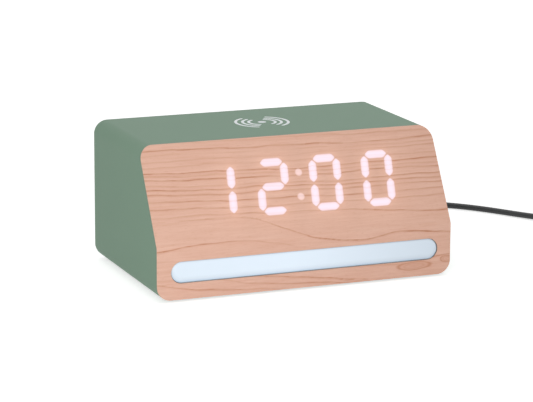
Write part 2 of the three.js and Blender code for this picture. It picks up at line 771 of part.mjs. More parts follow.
function mainBoardPiece() {
  const middle = [mainX, mainY];
  const board = prismZ(roundedRect(...mainSize, mainBoard.thickness, ...middle), mainBottom, mainTop);
  const parts = mainPartShares.map(
    (shares) => boardPart(middle, mainSize, mainTop, mainBoard.thickness, 1, shares));
  const holes = mainScrewPlaces.map(([x, y]) => rodZ(pilot, x, y, mainBottom - overrun, mainTop + overrun));
  return cut(join(board, ...parts), ...holes);
}

function flatTube({ width, height }, grow) {
  const [wide, high] = [width + 2 * grow, height + 2 * grow];
  return roundedRect(wide, high, high / 2, socketX, socketZ);
}

function usbSocket() {
  const front = socketBack - socket.depth;
  const shell = cut(prismY(flatTube(socket, 0), front, socketBack),
    prismY(flatTube(socket, -socket.wall), front + socket.wall, socketBack + overrun));
  const side = socket.width / 2 - socket.height / 2 - socket.bladeSide;
  const blade = box([socketX - side, front, socketZ - socket.blade / 2],
    [socketX + side, socketBack - socket.recess, socketZ + socket.blade / 2]);
  return join(shell, blade);
}

function cellHolder() {
  const outer = cell.diameter + 2 * gap + 2 * cell.ring;
  const top = cellBottom + cell.floor + gap + cell.thickness * holderShare;
  return cut(rodZ(outer, cellX, cellY, cellBottom, top, fineCircleSteps),
    rodZ(outer - 2 * cell.ring, cellX, cellY, cellBottom + cell.floor, top + overrun, fineCircleSteps));
}

function coinCell() {
  const bottom = cellBottom + cell.floor + gap;
  const edge = cell.thickness * cellEdgeShare;
  const radius = cell.diameter / 2;
  const profile = [[0, 0], [radius - edge, 0], [radius, edge], [radius, cell.thickness],
    [0, cell.thickness]];
  const piece = new THREE.LatheGeometry(profile.map(([r, y]) => new THREE.Vector2(r, y)), fineCircleSteps);
  return solid(piece.rotateX(Math.PI / 2).translate(cellX, cellY, bottom));
}

// Rear cover, with the ring of the sounder and the rails of the button board on its inner face

function rearCover() {
  const plate = prismY(caseOutline(body.wall + gap), coverFront, coverBack);
  const ring = cut(
    rodY(sounder.diameter + 2 * gap + 2 * sounder.ring, sounderX, sounderZ, coverFront - sounder.reach,
      coverFront + cover.thickness / 2),
    rodY(sounder.diameter + 2 * gap, sounderX, sounderZ, coverFront - sounder.reach - overrun, coverFront));
  const slots = Array.from({ length: soundSlot.count }, (_, i) => {
    const z = sounderZ + (i - (soundSlot.count - 1) / 2) * soundSlot.pitch;
    return prismY(roundedRect(soundSlot.length, soundSlot.width, soundSlot.width / 2, sounderX, z),
      coverFront - overrun, coverBack + overrun);
  });
  const half = keyBoard.height / 2;
  const rails = [-1, 1].map((side) => {
    const end = keyBoardWidth / 2 + gap;
    const [nearX, farX] = [side * (end - keyBoard.lip), side * (end + keyBoard.rail)];
    const channel = box(
      [Math.min(nearX, farX), keyBoardFront - gap - keyBoard.rail, buttonZ - half],
      [Math.max(nearX, farX), coverFront + cover.thickness / 2, buttonZ + half]);
    const groove = box(
      [Math.min(0, side * end), keyBoardFront - gap, buttonZ - half + keyBoard.rail - gap],
      [Math.max(0, side * end), keyBoardBack + gap, buttonZ + half + overrun]);
    return cut(channel, groove);
  });
  const screwHoles = coverScrewPlaces.flatMap(([x, z]) => [
    rodY(pilot, x, z, coverFront - overrun, coverBack + overrun),
    rodY(screw.head + 2 * gap, x, z, coverBack - cover.thickness / 2, coverBack + overrun)]);
  const hole = button.diameter + 2 * gap;
  const buttonHoles = buttonPlaces.map(
    (x) => rodY(hole, x, buttonZ, coverFront - overrun, coverBack + overrun, buttonSteps));
  const socketHole = prismY(flatTube(socket, gap), coverFront - overrun, coverBack + overrun);
  return cut(join(plate, ring, ...rails), ...slots, ...screwHoles, ...buttonHoles, socketHole);
}

// A cap with its flange and stem, turned about its own axis, which the group places.
function buttonCap() {
  const [cap, flange, stem] = [button.diameter / 2, button.diameter / 2 + button.flange, button.stem / 2];
  const tip = coverBack + button.proud;
  return turned([[0, stemFront], [stem, stemFront], [stem, flangeFront], [flange, flangeFront],
    [flange, flangeBack], [cap, flangeBack], [cap, tip - button.edge], [cap - button.edge, tip], [0, tip]],
  buttonSteps);
}

function switchPlunger() {
  const radius = tact.plunger / 2;
  return turned([[0, tactBack - tact.engaged], [radius, tactBack - tact.engaged], [radius, plungerBack],
    [0, plungerBack]]);
}

function switchBody() {
  const half = tact.size / 2;
  const depth = tact.engaged + button.travel + gap;
  return cut(box([-half, tactFront, -half], [half, tactBack, half]),
    rodY(tact.plunger + 2 * gap, 0, 0, tactBack - depth, tactBack + overrun));
}

function buttonBoard() {
  const half = keyBoard.height / 2;
  return box([-keyBoardWidth / 2, keyBoardFront, buttonZ - half + keyBoard.rail],
    [keyBoardWidth / 2, keyBoardBack, buttonZ + half]);
}

function sounderCan() {
  const back = coverFront - gap;
  return cut(rodY(sounder.diameter, sounderX, sounderZ, back - sounder.height, back),
    rodY(sounder.port, sounderX, sounderZ, back - sounder.height / 2, back + overrun));
}

// A foot, turned about its own axis and standing on the floor.
function rubberFoot() {
  const radius = foot.diameter / 2;
  const top = pocketTop - gap;
  const profile = [[0, 0], [radius - foot.edge, 0], [radius, foot.edge], [radius, top], [0, top]];
  return turned(profile, buttonSteps);
}

// Leads and ribbons

function ribbon(line, thickness, width, x) {
  return prismX(strip(line, thickness), x - width / 2, x + width / 2);
}

function coilLeads() {
  const y = coilY + trayRadius + 2 * gap + coilLead.thickness / 2;
  const high = coilTop - coil.thickness / 2;
  const low = chargerBottom + charger.thickness / 2 - gap;
  const [start, end] = [coilY + coilDiameter / 2 + gap, coilY + charger.depth / 2 + gap];
  return ribbon([[start, high], [y, high], [y, low], [end, low]], coilLead.thickness, coilLead.width, 0);
}

function displayRibbon() {
  const [sin, cos] = [Math.sin(body.lean), Math.cos(body.lean)];
  const height = slopeMiddle - displayHeight / 4;
  const at = (depth) => [frontY + depth * cos + height * sin, bendZ + height * cos - depth * sin];
  const start = at(displayBoardBack + gap);
  const turn = at(displayBoardBack + gap + flatLead.stand);
  const y = Math.max(turn[0] + flatLead.stand, mainFront + flatLead.stand);
  return ribbon([start, turn, [y, mainTop + flatLead.width], [y, mainTop + gap]], flatLead.thickness,
    flatLead.width, mainX);
}

function buttonRibbon() {
  const y = keyBoardFront - gap - flatLead.stand;
  const z = buttonZ - flatLead.stand / 2;
  const line = [[keyBoardFront - gap, z], [y, z], [y, mainTop + gap]];
  return ribbon(line, flatLead.thickness, flatLead.width, 0);
}

function barLead() {
  const start = barBoardFront + bar.boardThickness + gap;
  const x = barLength / 8;
  const y = mainFront + 2 * roundLead.bow;
  return wire([[x, start, barZ], [x, start + roundLead.bow, barZ], [x, y, mainTop + roundLead.bow],
    [x, y, mainTop + gap]], roundLead.diameter, roundLead.sides, roundLead.steps);
}

function sounderLead() {
  const start = coverFront - 2 * gap - sounder.height;
  const x = mainLeft + roundLead.bow;
  const y = start - 2 * roundLead.bow;
  const line = [
    [sounderX, start, sounderZ], [sounderX, start - roundLead.bow, sounderZ],
    [(sounderX + x) / 2, y, (sounderZ + mainTop) / 2], [x, y, mainTop + roundLead.bow], [x, y, mainTop + gap],
  ];
  return wire(line, roundLead.diameter, roundLead.sides, roundLead.steps);
}

function chargerLead() {
  const x = chargerWidth / 4;
  const [y, bulge] = [coilY - charger.depth / 4, 2 * roundLead.bow];
  const middle = (mainTop + chargerBottom) / 2;
  return wire([[x, y, mainTop + gap], [x, y, mainTop + roundLead.bow], [x - bulge / 2, y - bulge, middle],
    [x, y, chargerBottom - roundLead.bow], [x, y, chargerBottom - gap]],
  roundLead.diameter, roundLead.sides, roundLead.steps);
}

// The lead outside the case. It lies on the surface that the clock stands on.

const plugFront = coverBack + gap;
const cordRadius = cord.diameter / 2;
const tieLift = tie.thickness + gap;
const woundLow = tieLift + cordRadius;
const tailZ = farGrip.height / 2;

// The route of the stretch that isn't coiled, chosen by hand, from the strain relief to the coil.
const cordRoute = [
  [58, 82, 11.2], [58, 86.5, 11], [58.3, 91, 10.1], [59.4, 96.5, 8.4], [61.8, 102.5, 6.1],
  [65.8, 108.3, 3.8], [71.5, 113, 2.3], [79, 115.8, 1.75], [88, 116.4, 1.7], [98, 115.2, 1.7],
  [108, 112.9, 1.7], [118, 109.6, 1.7], [128, 105.3, 1.7], [138, 99.8, 1.7], [146, 94.4, 1.7],
  [153, 88.6, 1.7], [160, 81.5, 1.7], [167, 72.8, 1.7], [173.5, 63.3, 1.7], [179.5, 53.5, 1.8],
  [185.4, 43.9, 2], [191, 34.8, 2.3], [196.2, 26.4, 2.5],
];

function coiledLine() {
  const line = [];
  const [before, end] = [cordRoute[cordRoute.length - 2], cordRoute[cordRoute.length - 1]];
  const heading = Math.atan2(end[1] - before[1], end[0] - before[0]);
  const start = new THREE.Vector3(
    end[0] + gap * Math.cos(heading), end[1] + gap * Math.sin(heading), woundLow);
  const lead = new THREE.Vector3(Math.cos(heading), Math.sin(heading), 0).multiplyScalar(cord.diameter);
  const first = start.clone().add(lead);
  const inwards = new THREE.Vector3(-Math.sin(heading), Math.cos(heading), 0);
  const centre = first.clone().addScaledVector(inwards, wound.outer);
  line.push(start);
  const turns = wound.turnsIn + wound.climb + wound.turnsOut;
  const steps = Math.round(turns * wound.stepsPerTurn);
  const inner = wound.outer - wound.turnsIn * wound.spacing;
  for (let i = 0; i <= steps; i += 1) {
    const turn = turns * i / steps;
    const middle = wound.turnsIn + wound.climb / 2;
    const radius = inner + wound.spacing * (Math.abs(turn - middle) - wound.climb / 2);
    const climbed = THREE.MathUtils.clamp((turn - wound.turnsIn) / wound.climb, 0, 1);
    const angle = heading - Math.PI / 2 + 2 * Math.PI * turn;
    line.push(new THREE.Vector3(centre.x + radius * Math.cos(angle), centre.y + radius * Math.sin(angle),
      woundLow + wound.spacing * climbed));
  }
  const outAngle = heading + 2 * Math.PI * turns;
  const out = new THREE.Vector3(Math.cos(outAngle), Math.sin(outAngle), 0);
  line.push(line[line.length - 1].clone().addScaledVector(out, cord.diameter));
  return { line, centre, out, steps };
}
const coiled = coiledLine();

// A tube of a few sides through the points, each ring square to the line there.
function tubeThrough(line, diameter, sides) {
  const up = new THREE.Vector3(0, 0, 1);
  return loft(line.map((point, i) => {
    const along = line[Math.min(i + 1, line.length - 1)].clone().sub(line[Math.max(i - 1, 0)]).normalize();
    const across = along.clone().cross(up).normalize();
    const over = across.clone().cross(along);
    return Array.from({ length: sides }, (_, k) => {
      const angle = (k + 1 / 2) / sides * 2 * Math.PI;
      return point.clone().addScaledVector(across, Math.cos(angle) * diameter / 2)
        .addScaledVector(over, Math.sin(angle) * diameter / 2);
    });
  }));
}

// The least gap of the coiled line to itself, between points more than half a turn apart.
function leastGap(line) {
  let least = Infinity;
  line.forEach((point, i) => {
    for (let k = i + wound.stepsPerTurn / 2; k < line.length; k += 1) {
      least = Math.min(least, point.distanceTo(line[k]) - cord.diameter);
    }
  });
  return least;
}
console.log(`least gap between the turns of the coiled lead: ${leastGap(coiled.line).toFixed(3)} mm`);

function cordTie() {
  const innermost = wound.outer - (wound.turnsIn + wound.climb / 2) * wound.spacing;
  const inner = innermost - cordRadius - 2 * gap;
  const outer = wound.outer + cordRadius + 2 * gap;
  const [low, high] = [tie.thickness, woundLow + wound.spacing + cordRadius + gap];
  const half = tie.width / 2;
  const frame = cut(
    box([inner - tie.thickness, -half, 0], [outer + tie.thickness, half, high + tie.thickness]),
    box([inner, -half - overrun, low], [outer, half + overrun, high]));
  const place = new THREE.Matrix4().makeRotationZ(tie.angle);
  return frame.transform(place.setPosition(coiled.centre.x, coiled.centre.y, 0).elements);
}

// The short stretch from the coil down to the far plug, with both ends level.
const tailStart = coiled.line[coiled.line.length - 1].clone().addScaledVector(coiled.out, gap);
const tailEnd = tailStart.clone().addScaledVector(coiled.out, tail.length).setZ(tailZ);

function tailPoints() {
  return tailLevelShares.map((share, i) => {
    const point = tailStart.clone().lerp(tailEnd, share);
    point.z = THREE.MathUtils.lerp(tailStart.z, tailEnd.z, tailDropShares[i]);
    return point.toArray();
  });
}

// A plug's moulded grip and its tapered, ribbed relief, along Y from 0, with its middle on the axis.
function plugGrip({ length, width, height, corner, edge }) {
  const ring = (y, inset) => ringY(width - 2 * inset, height - 2 * inset, corner - inset, y, 0, gripSteps);
  return loft([ring(0, edge / 2), ring(edge / 2, 0), ring(length - edge, 0), ring(length, edge)]);
}

function relief(start, length, wide, narrow, ribs, ribDepth) {
  const profile = [[0, start - overrun / 2], [wide / 2, start - overrun / 2], [wide / 2, start]];
  const step = length / ribs;
  for (let i = 0; i < ribs; i += 1) {
    const radius = THREE.MathUtils.lerp(wide, narrow, (i + 1) / ribs) / 2;
    const y = start + i * step;
    profile.push([radius - ribDepth, y + step * ribShares[0]], [radius - ribDepth, y + step * ribShares[1]],
      [radius, y + step * ribShares[2]], [radius, y + step]);
  }
  profile.push([0, start + length]);
  return turned(profile, reliefSteps);
}

function nearPlugPiece() {
  const grip = join(plugGrip(nearPlug), relief(nearPlug.length, nearPlug.relief, nearPlug.reliefStart,
    nearPlug.reliefEnd, nearPlug.ribs, nearPlug.ribDepth));
  const pocket = prismY(roundedRect(nearShell.width + 2 * gap, nearShell.height + 2 * gap,
    nearShell.height / 2 + gap), -overrun, nearShell.root + gap);
  return cut(grip, pocket);
}

function flatShell({ width, height, wall, length, root }, corner, innerCorner) {
  return cut(prismY(roundedRect(width, height, corner), -length, root),
    prismY(roundedRect(width - 2 * wall, height - 2 * wall, innerCorner), -length - overrun, root - wall));
}

function nearShellPiece() {
  return flatShell(nearShell, nearShell.height / 2, nearShell.height / 2 - nearShell.wall);
}

function farGripPiece() {
  const grip = join(plugGrip(farGrip), relief(farGrip.length, farGrip.relief, nearPlug.reliefStart,
    nearPlug.reliefEnd, nearPlug.ribs, nearPlug.ribDepth));
  const opening = roundedRect(farShell.width + 2 * gap, farShell.height + 2 * gap, farShell.wall + gap);
  const pocket = prismY(opening, -overrun, farShell.root + gap);
  return cut(grip, pocket);
}

function farShellPiece() {
  const shell = flatShell(farShell, farShell.wall, farShell.wall / 2);
  const half = farShell.width / 2 - farShell.wall - gap;
  const low = farShell.wall / 2 - farShell.height / 2;
  const tongue = box([-half, -farShell.length + farShell.wall, low],
    [half, farShell.root - farShell.wall / 2, low + farShell.tongue]);
  return join(shell, tongue);
}

// Assembly

add('housing', housing(), finishes.sagePlastic);
add('wood_face', woodFace(), finishes.beechVeneer);
add('face_carrier', faceCarrier(), finishes.whitePlastic);
add('light_bar_lens', barLens(), finishes.milkyPlastic);
add('light_bar_reflector', barReflector(), finishes.whitePlastic);
add('light_bar_board', barBoard(), finishes.greenBoard);
add('digit_diffuser', digitDiffuser(), finishes.milkyPlastic, slope);
add('display_reflector', displayReflector(), finishes.whitePlastic, slope);
add('display_board', displayBoard(), finishes.greenBoard, slope);
displayScrewPlaces.forEach(([x, z], i) => {
  add(`display_screw_${i + 1}`, crossScrew(), finishes.platedSteel, slope)
    .position.set(x, displayBoardBack + gap, z);
});

add('charging_coil', chargingCoil(), finishes.copperWire);
add('ferrite_plate', rodZ(ferriteDiameter, 0, coilY, ferriteTop - ferrite.thickness, ferriteTop,
  fineCircleSteps), finishes.ferriteGrey);
add('coil_tray', coilTray(), finishes.whitePlastic);
add('charger_board', chargerBoard(), finishes.greenBoard);
[-1, 1].forEach((side, i) => {
  const mesh = add(`tray_screw_${i + 1}`, crossScrew(), finishes.platedSteel);
  mesh.position.set(side * lugX, coilY, chargerBottom - gap);
  mesh.rotation.x = -Math.PI / 2;
});

add('main_board', mainBoardPiece(), finishes.greenBoard);
mainScrewPlaces.forEach(([x, y], i) => {
  const mesh = add(`board_screw_${i + 1}`, crossScrew(), finishes.platedSteel);
  mesh.position.set(x, y, mainTop + gap);
  mesh.rotation.x = Math.PI / 2;
});
add('usb_socket', usbSocket(), finishes.platedSteel);
add('cell_holder', cellHolder(), finishes.blackPlastic);
add('coin_cell', coinCell(), finishes.platedSteel);
add('sounder', sounderCan(), finishes.blackPlastic);

add('rear_cover', rearCover(), finishes.sagePlastic);
coverScrewPlaces.forEach(([x, z], i) => {
  const seat = coverBack - cover.thickness / 2 + gap;
  addAt(`cover_screw_${i + 1}`, crossScrew(), finishes.platedSteel, [x, seat, z]);
});
add('button_board', buttonBoard(), finishes.greenBoard);
['set', 'up', 'down', 'light'].forEach((use, i) => {
  const place = [buttonPlaces[i], 0, buttonZ];
  addAt(`${use}_button`, buttonCap(), finishes.greyPlastic, place);
  addAt(`${use}_switch_plunger`, switchPlunger(), finishes.blackPlastic, place);
  addAt(`${use}_switch_body`, switchBody(), finishes.switchBlack, place);
});
footPlaces.forEach(([x, y], i) => {
  const mesh = add(`foot_${i + 1}`, rubberFoot(), finishes.blackRubber);
  mesh.position.set(x, y, 0);
  mesh.rotation.x = Math.PI / 2;
});

add('coil_leads', coilLeads(), finishes.copperWire);
add('display_ribbon', displayRibbon(), finishes.wireWhite);
add('button_ribbon', buttonRibbon(), finishes.wireWhite);
add('bar_lead', barLead(), finishes.wireWhite);
add('sounder_lead', sounderLead(), finishes.wireWhite);
add('charger_lead', chargerLead(), finishes.wireWhite);

addAt('cord_plug', nearPlugPiece(), finishes.blackPlastic, [socketX, plugFront, socketZ]);
addAt('cord_plug_shell', nearShellPiece(), finishes.platedSteel, [socketX, plugFront, socketZ]);
add('cord', wire(cordRoute, cord.diameter, cord.sides, cord.steps), finishes.blackRubber);
add('cord_coil', tubeThrough(coiled.line, cord.diameter, wound.sides), finishes.blackRubber);
add('cord_tie', cordTie(), finishes.blackPlastic);
add('cord_tail', wire(tailPoints(), cord.diameter, cord.sides, tail.steps), finishes.blackRubber);

// The far plug's relief points back at the tail, so its own axis runs against the tail's heading.
const farHeading = new THREE.Group();
const farFront = tailEnd.clone().addScaledVector(coiled.out, gap + farGrip.relief + farGrip.length);
farHeading.position.copy(farFront);
farHeading.rotation.z = Math.atan2(coiled.out.y, coiled.out.x) + Math.PI / 2;
clock.add(farHeading);
add('far_plug_grip', farGripPiece(), finishes.blackPlastic, farHeading);
add('far_plug_shell', farShellPiece(), finishes.platedSteel, farHeading);

export default clock;
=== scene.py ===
"""Wireless charging alarm clock: its visible pieces, finishes and studio, built round the packed model.

All lengths are metres, in the frame of the packed model: the clock faces -Y and stands on Z = 0.
"""

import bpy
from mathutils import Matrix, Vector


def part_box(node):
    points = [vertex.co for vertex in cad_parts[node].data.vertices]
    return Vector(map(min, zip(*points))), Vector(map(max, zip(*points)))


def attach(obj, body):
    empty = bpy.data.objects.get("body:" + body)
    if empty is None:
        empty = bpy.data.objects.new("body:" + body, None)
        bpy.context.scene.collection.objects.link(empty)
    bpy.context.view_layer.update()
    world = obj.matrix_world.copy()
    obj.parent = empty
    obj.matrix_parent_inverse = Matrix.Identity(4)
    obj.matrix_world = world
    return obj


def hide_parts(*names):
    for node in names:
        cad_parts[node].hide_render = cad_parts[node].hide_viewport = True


bl_info = {
    "name": "Charging alarm clock",
    "version": (1, 0, 0),
    "blender": (4, 5, 0),
    "location": "View3D > Sidebar > Clock",
    "description": "Builds the case, wood face, display, rear, lead and studio of a charging alarm clock",
    "category": "Add Mesh",
}

import math

import bmesh
import bpy
import numpy as np
from bpy.props import FloatProperty, FloatVectorProperty, PointerProperty
from mathutils import Matrix, Vector

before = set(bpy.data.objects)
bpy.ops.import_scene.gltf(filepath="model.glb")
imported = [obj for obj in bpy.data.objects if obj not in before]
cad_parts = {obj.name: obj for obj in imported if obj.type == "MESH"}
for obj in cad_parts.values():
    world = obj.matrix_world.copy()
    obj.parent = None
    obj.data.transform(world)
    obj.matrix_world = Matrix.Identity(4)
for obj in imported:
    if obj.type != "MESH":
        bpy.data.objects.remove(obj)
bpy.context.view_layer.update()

MM = 0.001


# Settings

def length(name, description, millimetres):
    """A length that the user can change."""
    return FloatProperty(name=name, description=description, default=millimetres * MM, min=0,
                         precision=5, unit="LENGTH")


def turn(name, description, degrees):
    """An angle that the user can change."""
    return FloatProperty(name=name, description=description, default=math.radians(degrees),
                         precision=4, subtype="ANGLE")


def linear(code):
    """Linear red, green and blue of an sRGB hex code."""
    values = np.array([int(code[i:i + 2], 16) for i in (1, 3, 5)]) / 255
    curved = ((values + 0.055) / 1.055) ** 2.4
    return tuple(np.where(values <= 0.04045, values / 12.92, curved).tolist())


def colour(name, description, code):
    """A colour that the user can change, given as its sRGB hex code."""
    return FloatVectorProperty(name=name, description=description, default=linear(code), size=3,
                               min=0, max=1, subtype="COLOR")


class CaseSizes(bpy.types.PropertyGroup):
    """The moulded case."""
    width: length("Width", "Across the front", 165)
    depth: length("Depth", "From the front to the rear", 102)
    height: length("Height", "Without the feet", 75.5)
    lift: length("Lift", "How far the feet lift the case", 1)
    lower_face: length("Lower face", "Height of the upright strip below the bend", 27.5)
    lean: turn("Lean", "How far the display face leans back", 30)
    corner: length("Corner", "Radius of the four long edges", 7.4)
    bend: length("Bend", "Radius of the bend across the front", 4)
    wall: length("Wall", "Thickness of the case", 2.2)
    front_edge: length("Front edge", "Radius of the edge behind the veneer", 0.2)
    rear_edge: length("Rear edge", "Radius of the outer edge at the rear", 1.5)
    foot: length("Foot", "Diameter of a foot", 10)
    foot_pocket: length("Foot pocket", "Depth of the pocket that a foot is glued into", 0.8)
    foot_side: length("Foot side room", "From a foot's middle to the side of the case", 14)
    foot_end: length("Foot end room", "From a foot's middle to the front or rear", 13)


class FaceSizes(bpy.types.PropertyGroup):
    """The veneered front with its display and night light."""
    veneer: length("Veneer", "Thickness of the veneer", 0.6)
    bond: length("Bond", "Adhesive behind the veneer", 0.2)
    bar_length: length("Bar length", "Night light lens, end to end", 149.5)
    bar_height: length("Bar height", "Night light lens, top to bottom", 11.1)
    bar_centre: length("Bar centre", "Middle of the night light above the table", 15.22)
    slot_gap: length("Slot gap", "Between the lens and the veneer", 0.17)
    columns: length("Digit columns", "Between the middles of a digit's upright strokes", 13.7)
    stroke: length("Stroke", "Width of a stroke", 4.6)
    split: length("Split", "Between the tips of neighbouring strokes", 0.45)
    slant: turn("Slant", "Slant of the digits", 5.5)
    dot: length("Dot", "Diameter of a colon dot", 4.1)
    offset: length("Offset", "Of the row of digits to the right", 1.4)
    raised: length("Raised", "Of the row of digits above the middle of the leaning face", 0.25)
    side_room: length("Side room", "Average room beside the row of digits", 28.65)
    end_room: length("End room", "From the strokes to both ends of the leaning face", 12.2)
    mark_x: length("Mark side", "Middle of the charging mark to the right of the middle", 0.55)
    mark_y: length("Mark", "Middle of the charging mark behind the middle of the case", 13.9)


class RearSizes(bpy.types.PropertyGroup):
    """The rear cover with its buttons, slots and screws."""
    inset: length("Inset", "How far the cover lies inside the rear rim", 1.6)
    thickness: length("Thickness", "Of the cover", 2)
    gap: length("Gap", "Between pieces that slide past each other", 0.3)
    screw_inset: length("Screw inset", "Of the screws from the inner corners", 6.2)
    screw_head: length("Screw head", "Diameter of a screw's head", 4.4)
    screw_shank: length("Screw shank", "Diameter of a screw's shank", 2.2)
    screw_length: length("Screw length", "Below the head", 7)
    button_pitch: length("Button pitch", "Between the middles of neighbouring buttons", 16)
    button_drop: length("Button drop", "Of the buttons below the top", 27.5)
    button: length("Button", "Diameter of a button", 8)
    button_proud: length("Button height", "How far a button stands out of the cover", 1.2)
    socket_x: length("Socket", "Middle of the socket, to the right of the middle", 58)
    socket_z: length("Socket height", "Middle of the socket above the table", 11.2)
    sounder_x: length("Sounder", "Middle of the sounder, to the left of the middle", 56)
    slot_pitch: length("Slot pitch", "Between the sound slots", 2.6)
    slot_width: length("Slot width", "Of a sound slot", 1.2)
    slot_length: length("Slot length", "Of a sound slot", 9)


class LeadSizes(bpy.types.PropertyGroup):
    """The detachable lead and its plugs."""
    diameter: length("Diameter", "Of the lead", 3.4)
    gap: length("Gap", "Between the coil, the route and the tail", 0.3)
    spacing: length("Spacing", "Between neighbouring turns and layers of the coil", 3.95)
    outer: length("Outer turn", "Radius of the outermost turn's middle", 27)
    turns_in: FloatProperty(name="Turns in", description="Turns of the lower layer", default=3.5)
    climb: FloatProperty(name="Climb", description="Turns that rise to the upper layer", default=0.5)
    turns_out: FloatProperty(name="Turns out", description="Turns of the upper layer", default=3.4)
    tie: length("Tie", "Thickness of the tie", 0.5)
    tie_width: length("Tie width", "Of the tie", 6)
    tie_turn: turn("Tie turn", "Where the tie sits round the coil", 120)
    tail: length("Tail", "From the coil to the far plug", 26)


class Colours(bpy.types.PropertyGroup):
    """Colours of the finishes, as seen in plain light."""
    sage: colour("Sage green", "Case and rear cover", "#75937d")
    beech_pale: colour("Pale beech", "Lightest streaks of the veneer", "#e6bba7")
    beech: colour("Beech", "Darkest streaks of the veneer", "#dfb09a")
    beech_dark: colour("Beech grain", "Grain lines of the veneer", "#bd7b58")
    digits: colour("Digits", "Light of the digits", "#fee8f4")
    dots: colour("Dots", "Light of the colon dots", "#fddedd")
    lens: colour("Lens", "Night light", "#dfecf8")
    lens_rim: colour("Lens rim", "Night light near its rim", "#b9d0e4")
    ink: colour("Ink", "Printed charging mark", "#f6fcff")
    button: colour("Buttons", "Rear buttons", "#6d7f74")
    lead: colour("Lead", "Lead and plugs", "#2e2f30")
    board: colour("Circuit board", "Solder mask", "#2c6542")


SETTINGS = {
    "clock_case": CaseSizes,
    "clock_face": FaceSizes,
    "clock_rear": RearSizes,
    "clock_lead": LeadSizes,
    "clock_colours": Colours,
}


# Meshes

# Points closer than this are merged.
SAME_PLACE = 0.002 * MM


def round_once(steps):
    """Even angles once round a circle, without the last, which is the first again."""
    return np.linspace(0, 2 * np.pi, steps, endpoint=False)


def grid_faces(rows, columns, wrap_rows=False, wrap_columns=False):
    """Quads between neighbouring rows and columns of points that are numbered row by row."""
    row, column = np.meshgrid(np.arange(rows - (not wrap_rows)),
                              np.arange(columns - (not wrap_columns)), indexing="ij")
    next_row, next_column = (row + 1) % rows, (column + 1) % columns
    corners = [row * columns + column, row * columns + next_column,
               next_row * columns + next_column, next_row * columns + column]
    return np.stack(corners, axis=-1).reshape(-1, 4).tolist()


def ring_shape(points):
    """A closed shape from an array of rows, columns and XYZ whose rows and columns both close."""
    rows, columns = points.shape[:2]
    return points.reshape(-1, 3), grid_faces(rows, columns, True, True)


def loft(points):
    """A closed shape from rings stacked as rows, with a flat face over its first and last ring."""
    rows, columns = points.shape[:2]
    faces = grid_faces(rows, columns, wrap_columns=True)
    faces.append(list(range(columns))[::-1])
    faces.append(list(range((rows - 1) * columns, rows * columns)))
    return points.reshape(-1, 3), faces


def along_y(sections, places):
    """Rings of X and Z with a place along Y for each ring or point: an array of rows, columns and XYZ."""
    y = np.broadcast_to(places, sections.shape[:2])
    return np.stack([sections[..., 0], y, sections[..., 1]], axis=-1)


def prism(ring, near, far):
    """A ring of X and Z carried along Y from near to far."""
    return loft(along_y(np.stack([ring, ring]), [[near], [far]]))


def closed_sheet(front, back, faces):
    """A sheet's two sides, with walls along each edge that only one face has."""
    quads = np.array(faces)
    edges = np.stack([quads, np.roll(quads, -1, axis=1)], axis=-1).reshape(-1, 2)
    edges = edges[edges[:, 0] != edges[:, 1]]
    _, index, counts = np.unique(np.sort(edges, axis=1), axis=0, return_index=True,
                                 return_counts=True)
    rim = edges[index[counts == 1]]
    count = len(front)
    walls = np.stack([rim[:, 1], rim[:, 0], rim[:, 0] + count, rim[:, 1] + count], axis=-1)
    return (np.concatenate([front, back]),
            quads.tolist() + (quads[:, ::-1] + count).tolist() + walls.tolist())


def joined(shapes):
    """Several shapes as one, each with its point numbers moved past those before it."""
    starts = np.cumsum([0] + [len(points) for points, _ in shapes])
    faces = [[int(start) + i for i in face] for start, (_, part) in zip(starts, shapes) for face in part]
    return np.concatenate([points for points, _ in shapes]), faces


def cubic(t, before, leaving, after, arriving):
    """The curve from before to after for t from 0 to 1, with the slopes leaving and arriving at its ends.

    (2t^3 - 3t^2 + 1) before + (t^3 - 2t^2 + t) leaving + (3t^2 - 2t^3) after + (t^3 - t^2) arriving
    """
    return ((2 * t ** 3 - 3 * t ** 2 + 1) * before + (t ** 3 - 2 * t ** 2 + t) * leaving
            + (3 * t ** 2 - 2 * t ** 3) * after + (t ** 3 - t ** 2) * arriving)


def round_corners(points, radius, steps=4, closed=False):
    """A line with its corners rounded: (1-t)^2 before + 2t(1-t) corner + t^2 after, for t from 0 to 1.

    Before and after lie a radius from the corner, at most 0.45 of the way to its neighbours.
    """
    points = np.asarray(points, dtype=float)
    t = np.linspace(0, 1, steps + 1)[:, None]
    ends = []
    for side in (1, -1):
        step = np.roll(points, side, axis=-2) - points
        size = np.maximum(np.linalg.norm(step, axis=-1, keepdims=True), 1e-9)
        ends.append((points + step * np.minimum(radius / size, 0.45))[..., None, :])
    arcs = (1 - t) ** 2 * ends[0] + 2 * t * (1 - t) * points[..., None, :] + t ** 2 * ends[1]
    line = arcs.reshape(*points.shape[:-2], -1, points.shape[-1])
    if closed:
        return line
    inside = line[..., steps + 1:-(steps + 1), :]
    return np.concatenate([points[..., :1, :], inside, points[..., -1:, :]], axis=-2)


def rounded_rect(width, height, radius, steps=8):
    """A ring round a rectangle: each corner's centre plus radius times (cos a, sin a)."""
    corner = np.repeat(np.arange(4), steps + 1)
    angle = (corner + np.tile(np.linspace(0, 1, steps + 1), 4)) * np.pi / 2
    side_x = np.where((corner == 0) | (corner == 3), 1, -1)
    side_y = np.where(corner < 2, 1, -1)
    return np.stack([side_x * (width / 2 - radius) + radius * np.cos(angle),
                     side_y * (height / 2 - radius) + radius * np.sin(angle)], axis=-1)


